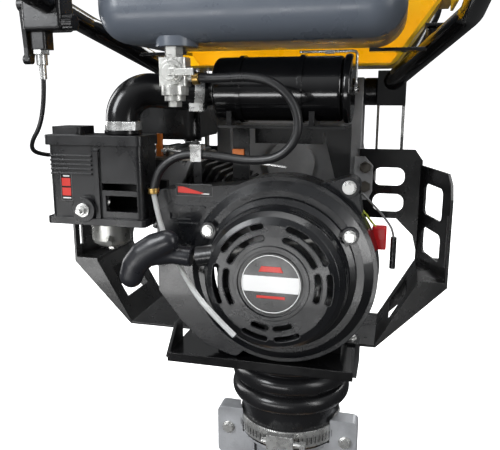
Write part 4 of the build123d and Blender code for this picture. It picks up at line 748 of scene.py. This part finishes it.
def closed_bead(name, outline, y, r, material, body):
    """Round bead along a closed X-Z outline, half sunk in a face at machine station y."""
    verts, faces = [], []
    count, around = len(outline), 6
    for i, (x, z) in enumerate(outline):
        (ax, az), (bx, bz) = outline[i - 1], outline[(i + 1) % count]
        run = math.hypot(bx - ax, bz - az)
        nx, nz = (bz - az) / run, -(bx - ax) / run
        for k in range(around):
            a = 2 * math.pi * k / around
            verts.append(at(x + nx * r * math.cos(a), y + r * math.sin(a), z + nz * r * math.cos(a)))
    for i in range(count):
        j = (i + 1) % count
        for k in range(around):
            n = (k + 1) % around
            faces.append((i * around + k, j * around + k, j * around + n, i * around + n))
    mesh_piece(name, verts, faces, material, body, True)


def slot_outline(r0, r1, a0, a1):
    """Outline of a round-ended ring slot about the crankshaft."""
    mid, half = (r0 + r1) / 2, (r1 - r0) / 2
    out = arc(SHAFT_X, 0, r1, 12, a0, a1)
    for a, turn in ((a1, 0), (a0, 180)):
        cx, cz = SHAFT_X + mid * math.cos(math.radians(a)), mid * math.sin(math.radians(a))
        out += arc(cx, cz, half, 6, a + turn, a + turn + 180)[1:-1]
        if turn == 0:
            out += arc(SHAFT_X, 0, r0, 12, a0, a1)[::-1]
    return out


SLOTS = [(46, 52, 103, 154), (58, 64, 101, 147), (46, 52, 27, 73), (58, 64, 25, 73), (46, 52, 168, 208),
         (58, 64, 166, 203), (46, 52, -17, 13), (58, 64, -15, 11), (46, 52, 248, 264), (58, 64, 242, 264),
         (46, 52, 276, 294), (58, 64, 276, 297)]   # inner and outer radius (mm), first and last angle
DEEPER_R = 62                      # beads of slots that end beyond this radius sit deeper
BEAD_BACK, DEEP_BACK = 0.1, 0.5    # mm behind the cover's front plane
BEAD_OUT, BEAD_R = 0.5, 0.75       # how far outside the slot's edge a bead runs, and its radius, mm
for number, (r0, r1, a0, a1) in enumerate(SLOTS):
    face = FACE + (BEAD_BACK if r1 <= DEEPER_R else DEEP_BACK)
    closed_bead("cover_bead_%d" % number, slot_outline(r0 - BEAD_OUT, r1 + BEAD_OUT, a0, a1), face, BEAD_R,
                COVER_BLACK, "upper")

# ---------------------------------------------------------------- lower clamp band
PERFORATIONS = 34
FIRST_ANGLE, ANGLE_STEP = -168, 4.6              # degrees
BAND_R, BAND_STATION = 83.0, -313                # where the marks sit: radius and station, mm
MARK_WIDE, MARK_TALL, MARK_DEEP = 0.8, 5.5, 0.4  # half width, half height and relief, mm
MARK_CORNERS = ((-1, -1, 0), (1, -1, 0), (1, 1, 0), (-1, 1, 0),
                (-1, -1, 1), (1, -1, 1), (1, 1, 1), (-1, 1, 1))
MARK_SIDES = ((0, 3, 2, 1), (4, 5, 6, 7), (0, 1, 5, 4), (1, 2, 6, 5), (2, 3, 7, 6), (3, 0, 4, 7))


def band_perforations():
    """Screw-thread slots of the lower clamp band, as dark marks round its operator's side."""
    verts, faces = [], []
    up = way(0, 0, 1)
    for k in range(PERFORATIONS):
        a = math.radians(FIRST_ANGLE + ANGLE_STEP * k)
        out = way(math.cos(a), math.sin(a), 0)
        along = way(-math.sin(a), math.cos(a), 0.35)
        mid = at(0, 0, BAND_STATION) + out * (BAND_R / 1000)
        base = len(verts)
        for i, j, d in MARK_CORNERS:
            step = along * (i * MARK_WIDE) + up * (j * MARK_TALL) + out * (d * MARK_DEEP)
            verts.append(mid + step / 1000)
        faces += [tuple(base + q for q in quad) for quad in MARK_SIDES]
    mesh_piece("band_perforations", verts, faces, BADGE_BLACK, "foot", False)


band_perforations()


# ---------------------------------------------------------------- leads of the stop switch
def lead(name, route, diameter, material):
    """Thin insulated lead between the engine and its connector."""
    wire, path = cord_mesh(name, route, diameter, material)
    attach(wire, "upper")


lead("stop_lead_green", [(104, -206, 84), (106, -205, 74), (112, -203, 66), (117, -200, 60), (122, -199, 53),
                         (128, -198, 46)], 2.4, WIRE_GREEN)
lead("stop_lead_grey", [(112, -204, 84), (120, -202, 76), (131, -199, 64), (141, -197, 52), (147, -197, 42),
                        (148, -197, 33)], 2.6, GREY_INK)
